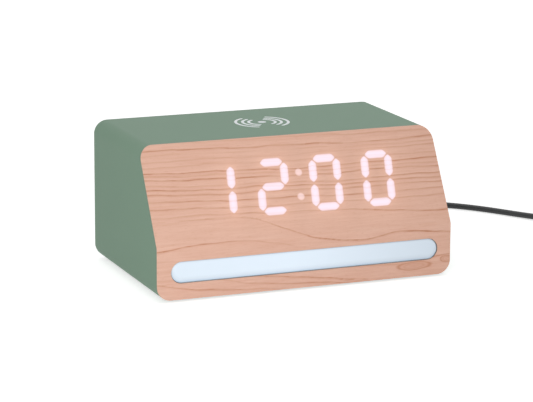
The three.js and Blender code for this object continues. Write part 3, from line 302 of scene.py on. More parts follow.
def turned(profile, centre, steps=48, axis="Y"):
    """A profile of (radius, place) turned about an axis: centre + radius * (cos a, sin a) across it."""
    profile = np.asarray(profile, dtype=float)
    angle = round_once(steps)
    across = [profile[:, :1] * np.cos(angle), profile[:, :1] * np.sin(angle)]
    along = np.repeat(profile[:, 1:], steps, axis=1)
    order = {"Y": [across[0], along, across[1]], "Z": [across[1], across[0], along]}[axis]
    return loft(np.stack(order, axis=-1) + np.asarray(centre))


def placed(shape, matrix):
    """A shape turned and moved by a 4 by 4 matrix."""
    points, faces = shape
    table = np.array(matrix)
    return points @ table[:3, :3].T + table[:3, 3], faces


def new_object(name, shape):
    """An object at the origin with its doubles merged and its faces turned outwards."""
    points, faces = shape
    mesh = bpy.data.meshes.new(name)
    mesh.from_pydata(points.tolist(), [], faces)
    work = bmesh.new()
    work.from_mesh(mesh)
    bmesh.ops.remove_doubles(work, verts=work.verts, dist=SAME_PLACE)
    bmesh.ops.recalc_face_normals(work, faces=work.faces)
    work.to_mesh(mesh)
    work.free()
    made = bpy.data.objects.new(name, mesh)
    bpy.context.scene.collection.objects.link(made)
    return made


def carve(piece, cutters):
    """Takes the cutting shapes out of the piece, and keeps the result as its own mesh."""
    tool = new_object("cutter", joined(cutters))
    change = piece.modifiers.new("carve", "BOOLEAN")
    change.operation = "DIFFERENCE"
    change.solver = "EXACT"
    change.use_self = True
    change.object = tool
    graph = bpy.context.evaluated_depsgraph_get()
    carved = bpy.data.meshes.new_from_object(piece.evaluated_get(graph))
    piece.modifiers.clear()
    carved.name = piece.name
    piece.data = carved
    bpy.data.objects.remove(tool)


def add_piece(name, shape, material, body="clock", stands_for=(), sharp=40, cutters=()):
    """A finished piece: its mesh less the cutters, smooth up to the sharp angle, in its material.

    It rides on its body and stands for packed nodes.
    """
    piece = new_object(name, shape)
    if cutters:
        carve(piece, cutters)
    mesh = piece.data
    mesh.shade_smooth()
    mesh.set_sharp_from_angle(angle=math.radians(sharp))
    mesh.materials.clear()
    mesh.materials.append(material)
    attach(piece, body)
    if stands_for:
        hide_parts(*stands_for)
    return piece


def coordinates(piece):
    """The piece's points as an array of X, Y and Z."""
    points = np.empty(len(piece.data.vertices) * 3, dtype=np.float32)
    piece.data.vertices.foreach_get("co", points)
    return points.reshape(-1, 3).astype(float)


def set_attribute(piece, name, values):
    """Keeps one number for each point under that name, for the material to read."""
    made = piece.data.attributes.new(name, "FLOAT", "POINT")
    made.data.foreach_set("value", np.asarray(values, dtype=np.float32))


def set_flat_map(piece, flat):
    """Keeps two flat coordinates for each point as the UV map 'flat'."""
    mesh = piece.data
    corners = np.empty(len(mesh.loops), dtype=np.int32)
    mesh.loops.foreach_get("vertex_index", corners)
    made = mesh.uv_layers.new(name="flat")
    made.data.foreach_set("uv", flat[corners].astype(np.float32).ravel())


# Materials

PLASTIC_IOR = 1.5
LACQUER_IOR = 1.48
# Nearly all of a noise texture lies between these values.
NOISE_LOW, NOISE_HIGH = 0.3, 0.7


def add_node(tree, kind, inputs=None, stops=None, **settings):
    """Adds a node: its own settings, each input as a value or a link, and a ramp's stops."""
    made = tree.nodes.new(f"ShaderNode{kind}")
    for name, value in settings.items():
        setattr(made, name, value)
    for name, value in (inputs or {}).items():
        if isinstance(value, bpy.types.NodeSocket):
            tree.links.new(value, made.inputs[name])
        else:
            made.inputs[name].default_value = value
    for i, (place, tone) in enumerate(stops or ()):
        elements = made.color_ramp.elements
        stop = elements[i] if i < 2 else elements.new(place)
        stop.position = place
        stop.color = (*tone, 1) if np.ndim(tone) else (tone, tone, tone, 1)
    return made


def new_material(name):
    """A material of that name, its node tree and its shader."""
    material = bpy.data.materials.new(name)
    material.use_nodes = True
    return material, material.node_tree, material.node_tree.nodes["Principled BSDF"]


def shade(rgb, factor):
    """A linear colour made lighter or darker."""
    return tuple(min(value * factor, 1) for value in rgb)


def moulded_plastic(name, rgb, roughness, grit, depth, mottle):
    """Plastic from a textured mould: a fine even grit that softens highlights, and a faint cloudy flow.

    The grit is the width of a grain and the depth its height. The clouds are 50 grains wide, the mottle is
    how far the colour varies, and the roughness varies by 0.06 with the grain.
    """
    material, tree, shader = new_material(name)
    place = add_node(tree, "TexCoord").outputs["Object"]
    fine = add_node(tree, "TexNoise", {
        "Vector": place, "Scale": 1 / grit, "Detail": 3.0}).outputs["Fac"]
    clouds = add_node(tree, "TexNoise", {
        "Vector": place, "Scale": 1 / (50 * grit), "Detail": 4.0}).outputs["Fac"]
    both = add_node(tree, "Math", {0: fine, 1: clouds}, operation="ADD").outputs[0]
    mean = add_node(tree, "Math", {0: both, 1: 0.5}, operation="MULTIPLY").outputs[0]
    ground = add_node(tree, "ValToRGB", {"Fac": mean}, [
        (NOISE_LOW, shade(rgb, 1 - mottle)), (NOISE_HIGH, shade(rgb, 1 + mottle))]).outputs["Color"]
    gloss = add_node(tree, "MapRange", {
        "Value": fine, "From Min": NOISE_LOW, "From Max": NOISE_HIGH,
        "To Min": roughness - 0.06, "To Max": roughness + 0.06}).outputs[0]
    bump = add_node(tree, "Bump", {"Height": fine, "Strength": 0.5, "Distance": depth}).outputs["Normal"]
    tree.links.new(ground, shader.inputs["Base Color"])
    tree.links.new(gloss, shader.inputs["Roughness"])
    tree.links.new(bump, shader.inputs["Normal"])
    shader.inputs["IOR"].default_value = PLASTIC_IOR
    return material


def metal(name, rgb, roughness, grit, stretch=(1, 1, 1)):
    """Bare or plated metal: reflections broken a little by a brushed or rolled grain, 0.02 mm deep.

    The grit is the grain's width, and the stretch draws it out along an axis.
    """
    material, tree, shader = new_material(name)
    place = add_node(tree, "TexCoord").outputs["Object"]
    along = add_node(tree, "Mapping", {"Vector": place, "Scale": stretch}).outputs["Vector"]
    grain = add_node(tree, "TexNoise", {"Vector": along, "Scale": 1 / grit, "Detail": 3.0}).outputs["Fac"]
    tint = add_node(tree, "ValToRGB", {"Fac": grain}, [
        (NOISE_LOW, shade(rgb, 0.9)), (NOISE_HIGH, shade(rgb, 1.08))]).outputs["Color"]
    gloss = add_node(tree, "MapRange", {
        "Value": grain, "From Min": NOISE_LOW, "From Max": NOISE_HIGH,
        "To Min": roughness * 0.75, "To Max": roughness * 1.3}).outputs[0]
    bump = add_node(tree, "Bump", {
        "Height": grain, "Strength": 0.3, "Distance": 0.02 * MM}).outputs["Normal"]
    tree.links.new(tint, shader.inputs["Base Color"])
    tree.links.new(gloss, shader.inputs["Roughness"])
    tree.links.new(bump, shader.inputs["Normal"])
    shader.inputs["Metallic"].default_value = 1
    return material


# The front, its outline and its grain

def front_y(case, z, inset):
    """Y of the front at height z: centre - sqrt(r^2 - above^2) round the bend, then rising with the lean."""
    radius = case.bend - inset
    centre_z = case.lift + case.lower_face - case.bend * math.tan(case.lean / 2)
    rise = radius * math.sin(case.lean)
    above = np.clip(z - centre_z, 0, rise)
    return (case.bend - case.depth / 2 - np.sqrt(radius ** 2 - above ** 2)
            + np.maximum(z - centre_z - rise, 0) * math.tan(case.lean))


def bend_heights(case, steps=8):
    """Heights of the bend's start, its end and the steps between them."""
    start = case.lift + case.lower_face - case.bend * math.tan(case.lean / 2)
    return start + case.bend * np.sin(np.linspace(0, case.lean, steps + 1))


def outline_rays(case, side_heights, steps=14):
    """Anchors and outward rays round the case.

    A point at an inset from the outline is anchor + (corner - inset) * ray, with ray (cos a, sin a).
    """
    half = case.width / 2 - case.corner
    low, high = case.lift + case.corner, case.lift + case.height - case.corner
    quarter = np.linspace(0, np.pi / 2, steps + 1)
    one, many = np.ones(steps + 1), np.ones(len(side_heights))
    angle = np.concatenate([0 * many, quarter, quarter + np.pi / 2, np.pi * many,
                            quarter + np.pi, quarter + 1.5 * np.pi])
    x = half * np.concatenate([many, one, -one, -many, -one, one])
    z = np.concatenate([side_heights, high * one, high * one, side_heights[::-1], low * one, low * one])
    return np.stack([x, z], axis=-1), np.stack([np.cos(angle), np.sin(angle)], axis=-1)


def flat_rise(case, z):
    """Distance up the front from the bend: Z below it, and Z over the cosine of the lean above it."""
    above = z - case.lift - case.lower_face
    return np.where(above > 0, above / math.cos(case.lean), above)


def on_slope(case, x, rise, proud):
    """Points on the leaning face, from X, the distance up it and the height above it."""
    sin, cos = math.sin(case.lean), math.cos(case.lean)
    return np.stack([x, -case.depth / 2 + rise * sin - proud * cos,
                     case.lift + case.lower_face + rise * cos + proud * sin], axis=-1)


# Each grain line: its rise above the bend in millimetres at LINE_PLACES places from the left side to the
# right, then how bold it is at the left, in the middle and at the right.
LINE_PLACES = 7
GRAIN_LINES = (
    (-32, -32, -33, -35, -36, -36, -36, 0.3, 0.3, 0.3),
    (-18.7, -23.6, -26, -28.5, -30, -31, -31, 0.9, 0.5, 0.2),
    (-16.5, -18, -23, -24.8, -27, -29, -29.5, 0.15, 0.7, 0.5),
    (-14, -16.5, -18.8, -21.8, -25.8, -27.8, -26, 0.1, 0.8, 0.3),
    (-12, -14.5, -16.5, -17.5, -19, -19.6, -16.6, 0.1, 0.2, 0.8),
    (-7, -9, -12, -13, -14, -14, -12.5, 0.15, 0.1, 0.1),
    (-2.2, 1, -0.5, -6.5, -9, -9.5, -9.5, 1.2, 0.1, 0.2),
    (14, 13.4, 11.8, 0.3, -4.4, -2.4, -4.8, 0.2, 0.8, 1),
    (16.2, 15.6, 14.9, 13.8, 12, 9.6, 7.8, 0.3, 0.6, 1),
    (20.6, 19.4, 18.4, 17.6, 17, 16.6, 16.2, 0.7, 0.5, 0.5),
    (24.6, 23.4, 22.4, 21.4, 20.4, 20, 20.2, 0.8, 0.8, 0.5),
    (28.2, 26.9, 26, 25.2, 24.3, 23.9, 23.6, 0.8, 0.7, 0.6),
    (30.9, 29.7, 28.8, 27.6, 26.4, 26.2, 26, 0.9, 0.8, 0.5),
    (33.2, 31.8, 30.6, 29.4, 28.4, 28.6, 28.8, 0.3, 0.3, 0.9),
    (36.5, 35.3, 34, 33.4, 33, 33, 32.4, 1, 0.9, 0.7),
    (38.6, 37.5, 36.2, 35.4, 35, 35, 34.6, 0.3, 0.3, 0.3),
    (40.2, 39.1, 37.9, 37.2, 36.9, 36.9, 37.6, 1, 1, 1),
    (43.4, 43, 42.2, 41.8, 41.2, 40.8, 40.3, 0.3, 0.3, 0.5),
    (46.2, 45.8, 45.2, 44.8, 44.6, 44.9, 44.5, 0.5, 0.2, 0.4),
    (49.6, 49, 48.4, 47.7, 46.9, 46.7, 46.5, 0.15, 0.15, 0.3),
    (52.2, 51.3, 50.7, 49.9, 48.9, 48.7, 48.9, 0.9, 0.9, 0.8),
    (56, 55.6, 55, 54.5, 54, 53.2, 52.6, 0.2, 0.3, 0.5),
    (60, 60, 60, 60, 60, 60, 60, 0.2, 0.2, 0.2),
)
# Each knot's place across the face and above the bend, and its half width and half height, in millimetres.
KNOTS = ((61.3, -21.4, 10, 2.3), (80.2, -19.4, 3.6, 1.7))
# Fine waves of the lines: their height, their length across and their drift up the face, in millimetres.
GRAIN_WAVES = ((0.3, 11, 5), (0.16, 4.7, -9), (0.08, 2.1, 3))
# Length along the grain and width across it of the streaks, fibres, pores and patches, in millimetres.
GRAIN_PATTERNS = ((30, 1.5), (9, 0.45), (3, 0.3), (22, 6))
# How dark a knot is at shares of twice its half width, from its heart to outside its rim.
KNOT_SHADES = ((0.0, 0.34), (0.2, 0.2), (0.29, 0.42), (0.37, 0.22), (0.47, 0.7), (0.56, 0.1), (0.75, 0.0))
# A fibre's red, green and blue against the ground, then the linear colours of the painted shade on the
# slot's cut edge and of the wood under a lit stroke.
FIBRE_WARMTH = (0.93, 0.86, 0.8)
PAINTED_SLOT_SHADE = (0.03, 0.022, 0.018)
UNDER_LIGHT = (0.02, 0.015, 0.015)


def grain(case, x, rise):
    """Ring number at a place, the room between the rings there, how bold the lines near it are, and its knot.

    The number counts the lines below the place and the share of the last step. Each line is a cubic
    through its heights, with fine waves added. The last value is the distance from the nearest knot,
    sqrt((x / wide)^2 + (rise / tall)^2), which is 1 at the knot's own rim and at most 2.
    """
    table = np.array(GRAIN_LINES)
    lines, bold = table[:, :LINE_PLACES] * MM, table[:, LINE_PLACES:]
    spans = LINE_PLACES - 1
    across = np.clip(x / case.width + 0.5, 0, 0.999)
    i = (across * spans).astype(int)
    slope = np.gradient(lines, axis=1)
    lines = cubic(across * spans - i, lines[:, i], slope[:, i], lines[:, i + 1], slope[:, i + 1])
    wave = sum(height * MM * np.sin(x / (wavelength * MM) + rise / (drift * MM))
               for height, wavelength, drift in GRAIN_WAVES)
    steps = np.diff(lines, axis=0)
    rings = np.clip((rise + wave - lines[:-1]) / steps, 0, 1).sum(axis=0)
    below = np.clip(rings.astype(int), 0, len(steps) - 1)
    here = np.arange(len(x))
    # How bold the lines are is mixed across each half of the face, then between the two nearest lines.
    half = (across * 2).astype(int)
    share = across * 2 - half
    bold = bold[:, half] * (1 - share) + bold[:, half + 1] * share
    share = np.clip(rings - below, 0, 1)
    bold = bold[below, here] * (1 - share) + bold[below + 1, here] * share
    knot_x, knot_rise, wide, tall = np.array(KNOTS).T[..., None] * MM
    knot = np.hypot((x - knot_x) / wide, (rise + wave - knot_rise) / tall).min(axis=0)
    return rings, steps[below, here], bold, np.minimum(knot, 2)


# Which strokes of each digit are lit. The letters go clockwise from the top, with g in the middle.
LIT_STROKES = ("bc", "abged", "abcdef", "abcdef")
# Each stroke's place across in columns and up in rows.
STROKE_PLACES = {"a": (0, 1), "b": (0.5, 0.5), "c": (0.5, -0.5), "d": (0, -1),
                 "e": (-0.5, -0.5), "f": (-0.5, 0.5), "g": (0, 0)}
# Radius that rounds a stroke's corners at its rim, and the least that it falls to further in.
STROKE_ROUNDING, LEAST_ROUNDING = 1.1 * MM, 0.1 * MM


def slope_middle(case):
    """Distance from the bend to the middle of the leaning face, up its slope."""
    return (case.height - case.lower_face) / math.cos(case.lean) / 2


def from_bar(face, x, z):
    """Distance of places on the front from the middle line of the night light."""
    spine = (face.bar_length - face.bar_height) / 2
    return np.hypot(np.maximum(np.abs(x) - spine, 0), z - face.bar_centre)


def stroke_centres(case, face):
    """Centres of the lit strokes along X and up the slope, and whether each is level."""
    rows = (2 * slope_middle(case) - 2 * face.end_room - face.stroke) / 2
    last = len(LIT_STROKES) - 1
    pitch = (case.width - 2 * face.side_room - face.columns - face.stroke) / last
    found = [(face.offset + (i - last / 2) * pitch + STROKE_PLACES[key][0] * face.columns,
              STROKE_PLACES[key][1] * rows, STROKE_PLACES[key][0] == 0)
             for i, keys in enumerate(LIT_STROKES) for key in keys]
    return np.array(found), rows


def stroke_rings(case, face, insets):
    """Rounded hexagons inside each lit stroke at the insets: an array of strokes, insets, points and XY."""
    centres, rows = stroke_centres(case, face)
    level = centres[:, 2, None, None] > 0
    inset = np.asarray(insets)[None, :, None]
    reach = np.where(level, face.columns, rows) / 2 - face.split / 2 - inset
    half = face.stroke / 2 - inset
    shoulder = reach - half
    long_way = np.concatenate([-reach, -shoulder, shoulder, reach, shoulder, -shoulder], axis=-1)
    zero = 0 * reach
    across = np.concatenate([zero, half + zero, half + zero, zero, -half + zero, -half + zero], axis=-1)
    x = np.where(level, long_way, across)
    up = np.where(level, across, long_way)
    hexagon = np.stack([x, up], axis=-1)
    rounding = np.maximum(STROKE_ROUNDING - inset[..., None] / 3, LEAST_ROUNDING)
    hexagon = round_corners(hexagon, rounding, closed=True)
    middle = centres[:, None, None, :2]
    place = hexagon + middle
    place[..., 0] += place[..., 1] * math.tan(face.slant)
    place[..., 1] += slope_middle(case) + face.raised
    return place


def stroke_distance(case, face, x, rise):
    """Distance from each place on the slope to the middle line of the nearest lit stroke."""
    centres, rows = stroke_centres(case, face)
    up = rise - slope_middle(case) - face.raised
    across = x - up * math.tan(face.slant)
    nearest = np.full_like(x, np.inf)
    for cx, cy, level in centres:
        reach = ((face.columns if level else rows) - face.split) / 2 - face.stroke / 2
        dx, dy = np.abs(across - cx), np.abs(up - cy)
        long_way, other = (dx, dy) if level else (dy, dx)
        nearest = np.minimum(nearest, np.hypot(np.maximum(long_way - reach, 0), other))
    return nearest


def beech_veneer(colours):
    """Beech veneer, sliced, sanded and matt lacquered, with the display shining through.

    Growth lines come from the attributes 'ring', 'room' and 'bold': a thin dark core with a soft shade
    below it, and knots from 'knot'. Streaks, fibres, pores and patches run along the grain of the map
    'flat'. The light comes from the attributes 'lit', 'glow' and 'dot', and 'cut' marks the slot's edge,
    where shade is painted.
    """
    material, tree, shader = new_material("beech_veneer_matt_lacquer")
    flat = add_node(tree, "UVMap", uv_map="flat").outputs["UV"]
    ring, room, bold, knot, lit, glow, dot, cut = (
        add_node(tree, "Attribute", attribute_name=name).outputs["Fac"]
        for name in ("ring", "room", "bold", "knot", "lit", "glow", "dot", "cut"))
    maps = (add_node(tree, "Mapping", {"Vector": flat, "Scale": (1 / long_way, 1 / wide, 1)}).outputs[0]
            for long_way, wide in np.array(GRAIN_PATTERNS) * MM)
    streaks, fibres, pores, patches = (
        add_node(tree, "TexNoise", {"Vector": place, "Scale": 1.0, "Detail": 3.0}).outputs["Fac"]
        for place in maps)

    # The streaks push each growth line up and down by some tenths of a millimetre.
    push = add_node(tree, "Math", {0: streaks, 1: 1.2 * MM, 2: -0.6 * MM},
                    operation="MULTIPLY_ADD").outputs[0]
    push = add_node(tree, "Math", {0: push, 1: room}, operation="DIVIDE").outputs[0]
    moved = add_node(tree, "Math", {0: ring, 1: push}, operation="ADD").outputs[0]
    share = add_node(tree, "Math", {0: moved}, operation="FRACT").outputs[0]
    above = add_node(tree, "Math", {0: share, 1: room}, operation="MULTIPLY").outputs[0]
    below = add_node(tree, "Math", {0: room, 1: above}, operation="SUBTRACT").outputs[0]
    near = add_node(tree, "Math", {0: above, 1: below}, operation="MINIMUM").outputs[0]
    core = add_node(tree, "MapRange", {
        "Value": near, "From Min": 0.08 * MM, "From Max": 0.55 * MM,
        "To Min": 0.54, "To Max": 0.0}).outputs[0]
    soft = add_node(tree, "MapRange", {
        "Value": below, "From Min": 0.0, "From Max": 1.4 * MM,
        "To Min": 0.42, "To Max": 0.0}, interpolation_type="SMOOTHSTEP").outputs[0]
    line = add_node(tree, "Math", {0: core, 1: soft}, operation="ADD").outputs[0]
    # The fibres break a line up, and it fades and darkens from patch to patch.
    broken = add_node(tree, "MapRange", {
        "Value": fibres, "From Min": 0.35, "From Max": 0.6, "To Min": 0.6, "To Max": 1.1}).outputs[0]
    faded = add_node(tree, "MapRange", {
        "Value": patches, "From Min": 0.38, "From Max": 0.6, "To Min": 0.6, "To Max": 1.3}).outputs[0]
    for factor in (bold, broken, faded):
        line = add_node(tree, "Math", {0: line, 1: factor}, operation="MULTIPLY", use_clamp=True).outputs[0]
    # A knot is a dark rim and an inner ring round a brown heart, all a little frayed along the grain.
    knot = add_node(tree, "Math", {0: knot, 1: 0.5, 2: -0.06}, operation="MULTIPLY_ADD").outputs[0]
    knot = add_node(tree, "Math", {0: streaks, 1: 0.12, 2: knot}, operation="MULTIPLY_ADD").outputs[0]
    knot = add_node(tree, "ValToRGB", {"Fac": knot}, KNOT_SHADES).outputs["Color"]
    line = add_node(tree, "Math", {0: line, 1: knot}, operation="MAXIMUM").outputs[0]

    # The ground between the lines: pale streaks, then fibres, pores and growth lines over them.
    tone = add_node(tree, "Math", {0: patches, 1: 0.5, 2: streaks}, operation="MULTIPLY_ADD").outputs[0]
    ground = add_node(tree, "ValToRGB", {"Fac": tone}, [
        (0.55, colours.beech), (0.95, colours.beech_pale)]).outputs["Color"]
    fibre = add_node(tree, "ValToRGB", {"Fac": fibres}, [
        (0.3, 0.3), (0.5, 0.07), (0.65, 0.0)]).outputs["Color"]
    fleck = add_node(tree, "ValToRGB", {"Fac": pores}, [(0.3, 0.25), (0.42, 0.0)]).outputs["Color"]
    warm_fibre = np.array(colours.beech) * FIBRE_WARMTH
    # Painted shade darkens the slot's cut edge, and where a stroke shines the wood looks dark itself.
    for factor, over in ((fibre, warm_fibre), (fleck, colours.beech_dark), (line, colours.beech_dark),
                         (cut, PAINTED_SLOT_SHADE), (lit, UNDER_LIGHT)):
        ground = add_node(tree, "Mix", {0: factor, 6: ground, 7: (*over, 1)}, data_type="RGBA").outputs[2]

    # Where a growth line lies over a digit, the light comes through as pink as the dots, and weaker.
    pink = add_node(tree, "Math", {0: line, 1: 0.45, 2: dot}, operation="MULTIPLY_ADD").outputs[0]
    light = add_node(tree, "Mix", {0: pink, 6: (*colours.digits, 1), 7: (*colours.dots, 1)},
                     data_type="RGBA").outputs[2]
    veil = add_node(tree, "Math", {0: line, 1: -0.13, 2: 1.02}, operation="MULTIPLY_ADD").outputs[0]
    veil = add_node(tree, "Math", {0: fibre, 1: -0.12, 2: veil}, operation="MULTIPLY_ADD").outputs[0]
    # Round the strokes, the wood glows faintly in its own colour.
    light = add_node(tree, "Mix", {0: lit, 6: (*shade(colours.beech, 1.25), 1), 7: light},
                     data_type="RGBA").outputs[2]
    halo = add_node(tree, "Math", {0: glow, 1: 0.06}, operation="MULTIPLY").outputs[0]
    power = add_node(tree, "Math", {0: lit, 1: veil, 2: halo}, operation="MULTIPLY_ADD").outputs[0]

    height = add_node(tree, "Math", {0: pores, 1: line}, operation="SUBTRACT").outputs[0]
    bump = add_node(tree, "Bump", {
        "Height": height, "Strength": 0.25, "Distance": 0.05 * MM}).outputs["Normal"]
    for source, target in ((ground, "Base Color"), (light, "Emission Color"), (power, "Emission Strength"),
                           (bump, "Normal")):
        tree.links.new(source, shader.inputs[target])
    shader.inputs["Roughness"].default_value = 0.55
    shader.inputs["IOR"].default_value = LACQUER_IOR
    return material


# The lead and its plugs

# The lead from its strain relief to the coil, lying on the table, in millimetres.
ROUTE = (
    (58, 82, 11.2), (58, 86.5, 11), (58.3, 91, 10.1), (59.4, 96.5, 8.4), (61.8, 102.5, 6.1),
    (65.8, 108.3, 3.8), (71.5, 113, 2.3), (79, 115.8, 1.75), (88, 116.4, 1.7), (98, 115.2, 1.7),
    (108, 112.9, 1.7), (118, 109.6, 1.7), (128, 105.3, 1.7), (138, 99.8, 1.7), (146, 94.4, 1.7),
    (153, 88.6, 1.7), (160, 81.5, 1.7), (167, 72.8, 1.7), (173.5, 63.3, 1.7), (179.5, 53.5, 1.8),
    (185.4, 43.9, 2), (191, 34.8, 2.3), (196.2, 26.4, 2.5),
)
# The tail from the coil to the far plug: shares of the way outwards, and of the way down to the plug.
TAIL_LEVEL = (0, 0.15, 0.4, 0.65, 0.87, 1)
TAIL_DROP = (0, 0.02, 0.35, 0.8, 1, 1)
# Points of the line in each turn of the coil, and how far it reaches into each plug.
TURN_POINTS = 48
IN_NEAR_PLUG, IN_FAR_PLUG = 1.5 * MM, 2 * MM
FAR_GRIP_LENGTH = 27 * MM
FAR_GRIP_HEIGHT = 8.2 * MM
FAR_RELIEF = 10 * MM


def lead_line(lead):
    """The lead's points, the coil's centre, and the place and heading of the far plug.

    The coil's radius is inner + spacing * (|turn - middle| - climb / 2): a spiral in, a climb, a spiral out.
    """
    route = np.array(ROUTE) * MM
    run = route[-1] - route[-2]
    heading = math.atan2(run[1], run[0])
    ahead = np.array([math.cos(heading), math.sin(heading), 0])
    low = lead.tie + lead.gap + lead.diameter / 2
    start = route[-1] + ahead * lead.gap
    start[2] = low
    first = start + ahead * lead.diameter
    centre = first + lead.outer * np.array([-ahead[1], ahead[0], 0])
    turns = lead.turns_in + lead.climb + lead.turns_out
    turn_number = np.linspace(0, turns, round(turns * TURN_POINTS) + 1)
    inner = lead.outer - lead.turns_in * lead.spacing
    radius = inner + lead.spacing * (np.abs(turn_number - lead.turns_in - lead.climb / 2) - lead.climb / 2)
    angle = heading - np.pi / 2 + 2 * np.pi * turn_number
    climbed = np.clip((turn_number - lead.turns_in) / lead.climb, 0, 1)
    coil = np.stack([centre[0] + radius * np.cos(angle), centre[1] + radius * np.sin(angle),
                     low + lead.spacing * climbed], axis=-1)
    out_angle = heading + 2 * np.pi * turns
    out = np.array([math.cos(out_angle), math.sin(out_angle), 0])
    tail_start = coil[-1] + out * (lead.diameter + lead.gap)
    tail_end = tail_start + out * lead.tail
    tail_end[2] = FAR_GRIP_HEIGHT / 2
    tail = tail_start + (tail_end - tail_start) * np.stack([TAIL_LEVEL, TAIL_LEVEL, TAIL_DROP], axis=-1)
    points = np.concatenate([[route[0] - [0, IN_NEAR_PLUG, 0]], route, [start], coil, tail,
                             [tail_end + out * IN_FAR_PLUG]])
    far_end = tail_end + out * (lead.gap + FAR_RELIEF + FAR_GRIP_LENGTH)
    return points, centre, far_end, out_angle


def smooth_line(points, step):
    """A cubic curve through the points, with its slopes taken from their neighbours, cut in even steps."""
    place = np.concatenate([[0], np.cumsum(np.linalg.norm(np.diff(points, axis=0), axis=1))])
    slope = np.gradient(points, place, axis=0)
    at = np.linspace(0, place[-1], round(place[-1] / step) + 1)
    i = np.clip(np.searchsorted(place, at, side="right") - 1, 0, len(place) - 2)
    span = (place[i + 1] - place[i])[:, None]
    t = (at - place[i])[:, None] / span
    return cubic(t, points[i], span * slope[i], points[i + 1], span * slope[i + 1])


def tube(line, radius, sides=18):
    """A round tube: line + radius * (cos a * across + sin a * over), square to the line at each point."""
    along = np.gradient(line, axis=0)
    along /= np.linalg.norm(along, axis=1, keepdims=True)
    across = np.cross(along, [0, 0, 1])
    across /= np.linalg.norm(across, axis=1, keepdims=True)
    over = np.cross(across, along)
    angle = round_once(sides)[:, None]
    return loft(line[:, None] + radius * (np.cos(angle) * across[:, None] + np.sin(angle) * over[:, None]))


# A grip's rows along its length, in millimetres: the place and how far its sides are drawn in there. Those of
# the rear end count from that end.
GRIP_FRONT = ((0, 0.6), (0.15, 0.25), (0.6, 0))
GRIP_REAR = ((-1.4, 0), (-0.5, 0.3), (-0.1, 0.8), (0, 1.6))
GRIP_WAIST, WAIST_PLACE = 0.35 * MM, 0.45
GRIP_LEAST_CORNER = 0.6 * MM
# The strain relief tapers from its root to its tip.
RELIEF_ROOT, RELIEF_TIP, RELIEF_MOUTH = 5.6 * MM, 4.4 * MM, 3.5 * MM
RELIEF_IN_GRIP = 3 * MM
# Each rib along its share of the relief: a groove first, then the rib itself.
RIBS, RIB_DEPTH = 4, 0.45 * MM
RIB_STEPS = ((0.12, RIB_DEPTH), (0.38, RIB_DEPTH), (0.5, 0), (0.96, 0))
# Radius of the flat ends that close it at its axis.
RELIEF_AXIS = 0.5 * MM


def plug_grip(width, height, corner, size, relief):
    """A moulded grip and its ribbed relief along +Y from 0: rounded rectangles, then rings that taper."""
    rows = np.array([(place * MM, inset * MM) for place, inset in GRIP_FRONT]
                    + [(WAIST_PLACE * size, GRIP_WAIST)]
                    + [(size + place * MM, inset * MM) for place, inset in GRIP_REAR])
    inset = rows[:, 1:]
    section = rounded_rect(width - 2 * inset, height - 2 * inset,
                           np.maximum(corner - inset, GRIP_LEAST_CORNER))
    grip = loft(along_y(section, rows[:, :1]))
    root = RELIEF_ROOT / 2
    profile = [(RELIEF_AXIS, size - RELIEF_IN_GRIP), (root, size - RELIEF_IN_GRIP), (root, size)]
    for i in range(RIBS):
        radius = root + (RELIEF_TIP - RELIEF_ROOT) / 2 * (i + 1) / RIBS
        profile += [(radius - deep, size + (i + share) * relief / RIBS) for share, deep in RIB_STEPS]
    profile += [(RELIEF_MOUTH / 2, size + relief), (RELIEF_AXIS, size + relief)]
    return joined([grip, turned(round_corners(profile, 0.25 * MM, 3), (0, 0, 0), 32)])


def plug_shell(width, height, wall, corner, size, root):
    """A folded metal shell along -Y from the root: an outer ring, a rolled lip and an inner ring."""
    roll, lip = 0.1 * MM, 0.15 * MM
    rows = np.array([(0, root), (0, lip - size), (roll, -size), (wall - roll, -size), (wall, lip - size),
                     (wall, root - wall)])
    inset = rows[:, :1]
    section = rounded_rect(width - 2 * inset, height - 2 * inset, np.maximum(corner - inset, 0.05 * MM), 6)
    return loft(along_y(section, rows[:, 1:]))


def box_shape(low, high, edge=0.1 * MM):
    """A box with softened edges, as rounded rectangles stacked along Y."""
    low, high = np.asarray(low), np.asarray(high)
    size, middle = high - low, (low + high) / 2
    rows = np.array([(edge, low[1]), (0, low[1] + edge), (0, high[1] - edge), (edge, high[1])])
    inset = rows[:, :1]
    section = rounded_rect(size[0] - 2 * inset, size[2] - 2 * inset, np.full_like(inset, edge), 2)
    return loft(along_y(section + middle[[0, 2]], rows[:, 1:]))


def nylon_webbing():
    """Nylon webbing, woven: black, and it scatters light in fine cross ribs of 0.5 mm."""
    material, tree, shader = new_material("nylon_webbing_woven")
    place = add_node(tree, "TexCoord").outputs["Object"]
    weave = add_node(tree, "TexChecker", {
        "Vector": place, "Scale": 1 / (0.5 * MM),
        "Color1": (0.02, 0.02, 0.022, 1), "Color2": (0.045, 0.045, 0.05, 1)}).outputs
    bump = add_node(tree, "Bump", {
        "Height": weave["Fac"], "Strength": 0.4, "Distance": 0.1 * MM}).outputs["Normal"]
    tree.links.new(weave["Color"], shader.inputs["Base Color"])
    tree.links.new(bump, shader.inputs["Normal"])
    shader.inputs["Roughness"].default_value = 0.8
    return material


# The pieces

# The camera's place in metres, its directions and its lens, worked out from the case's edges in the photo.
CAMERA_PLACE = (-0.48239, -1.1813, 0.32904)
CAMERA_RIGHT = (0.92686, -0.37537, 0.00557)
CAMERA_UP = (0.079, 0.20953, 0.97461)
CAMERA_LENS, SENSOR_WIDTH = 165.1, 36
FARTHEST_SEEN = 20


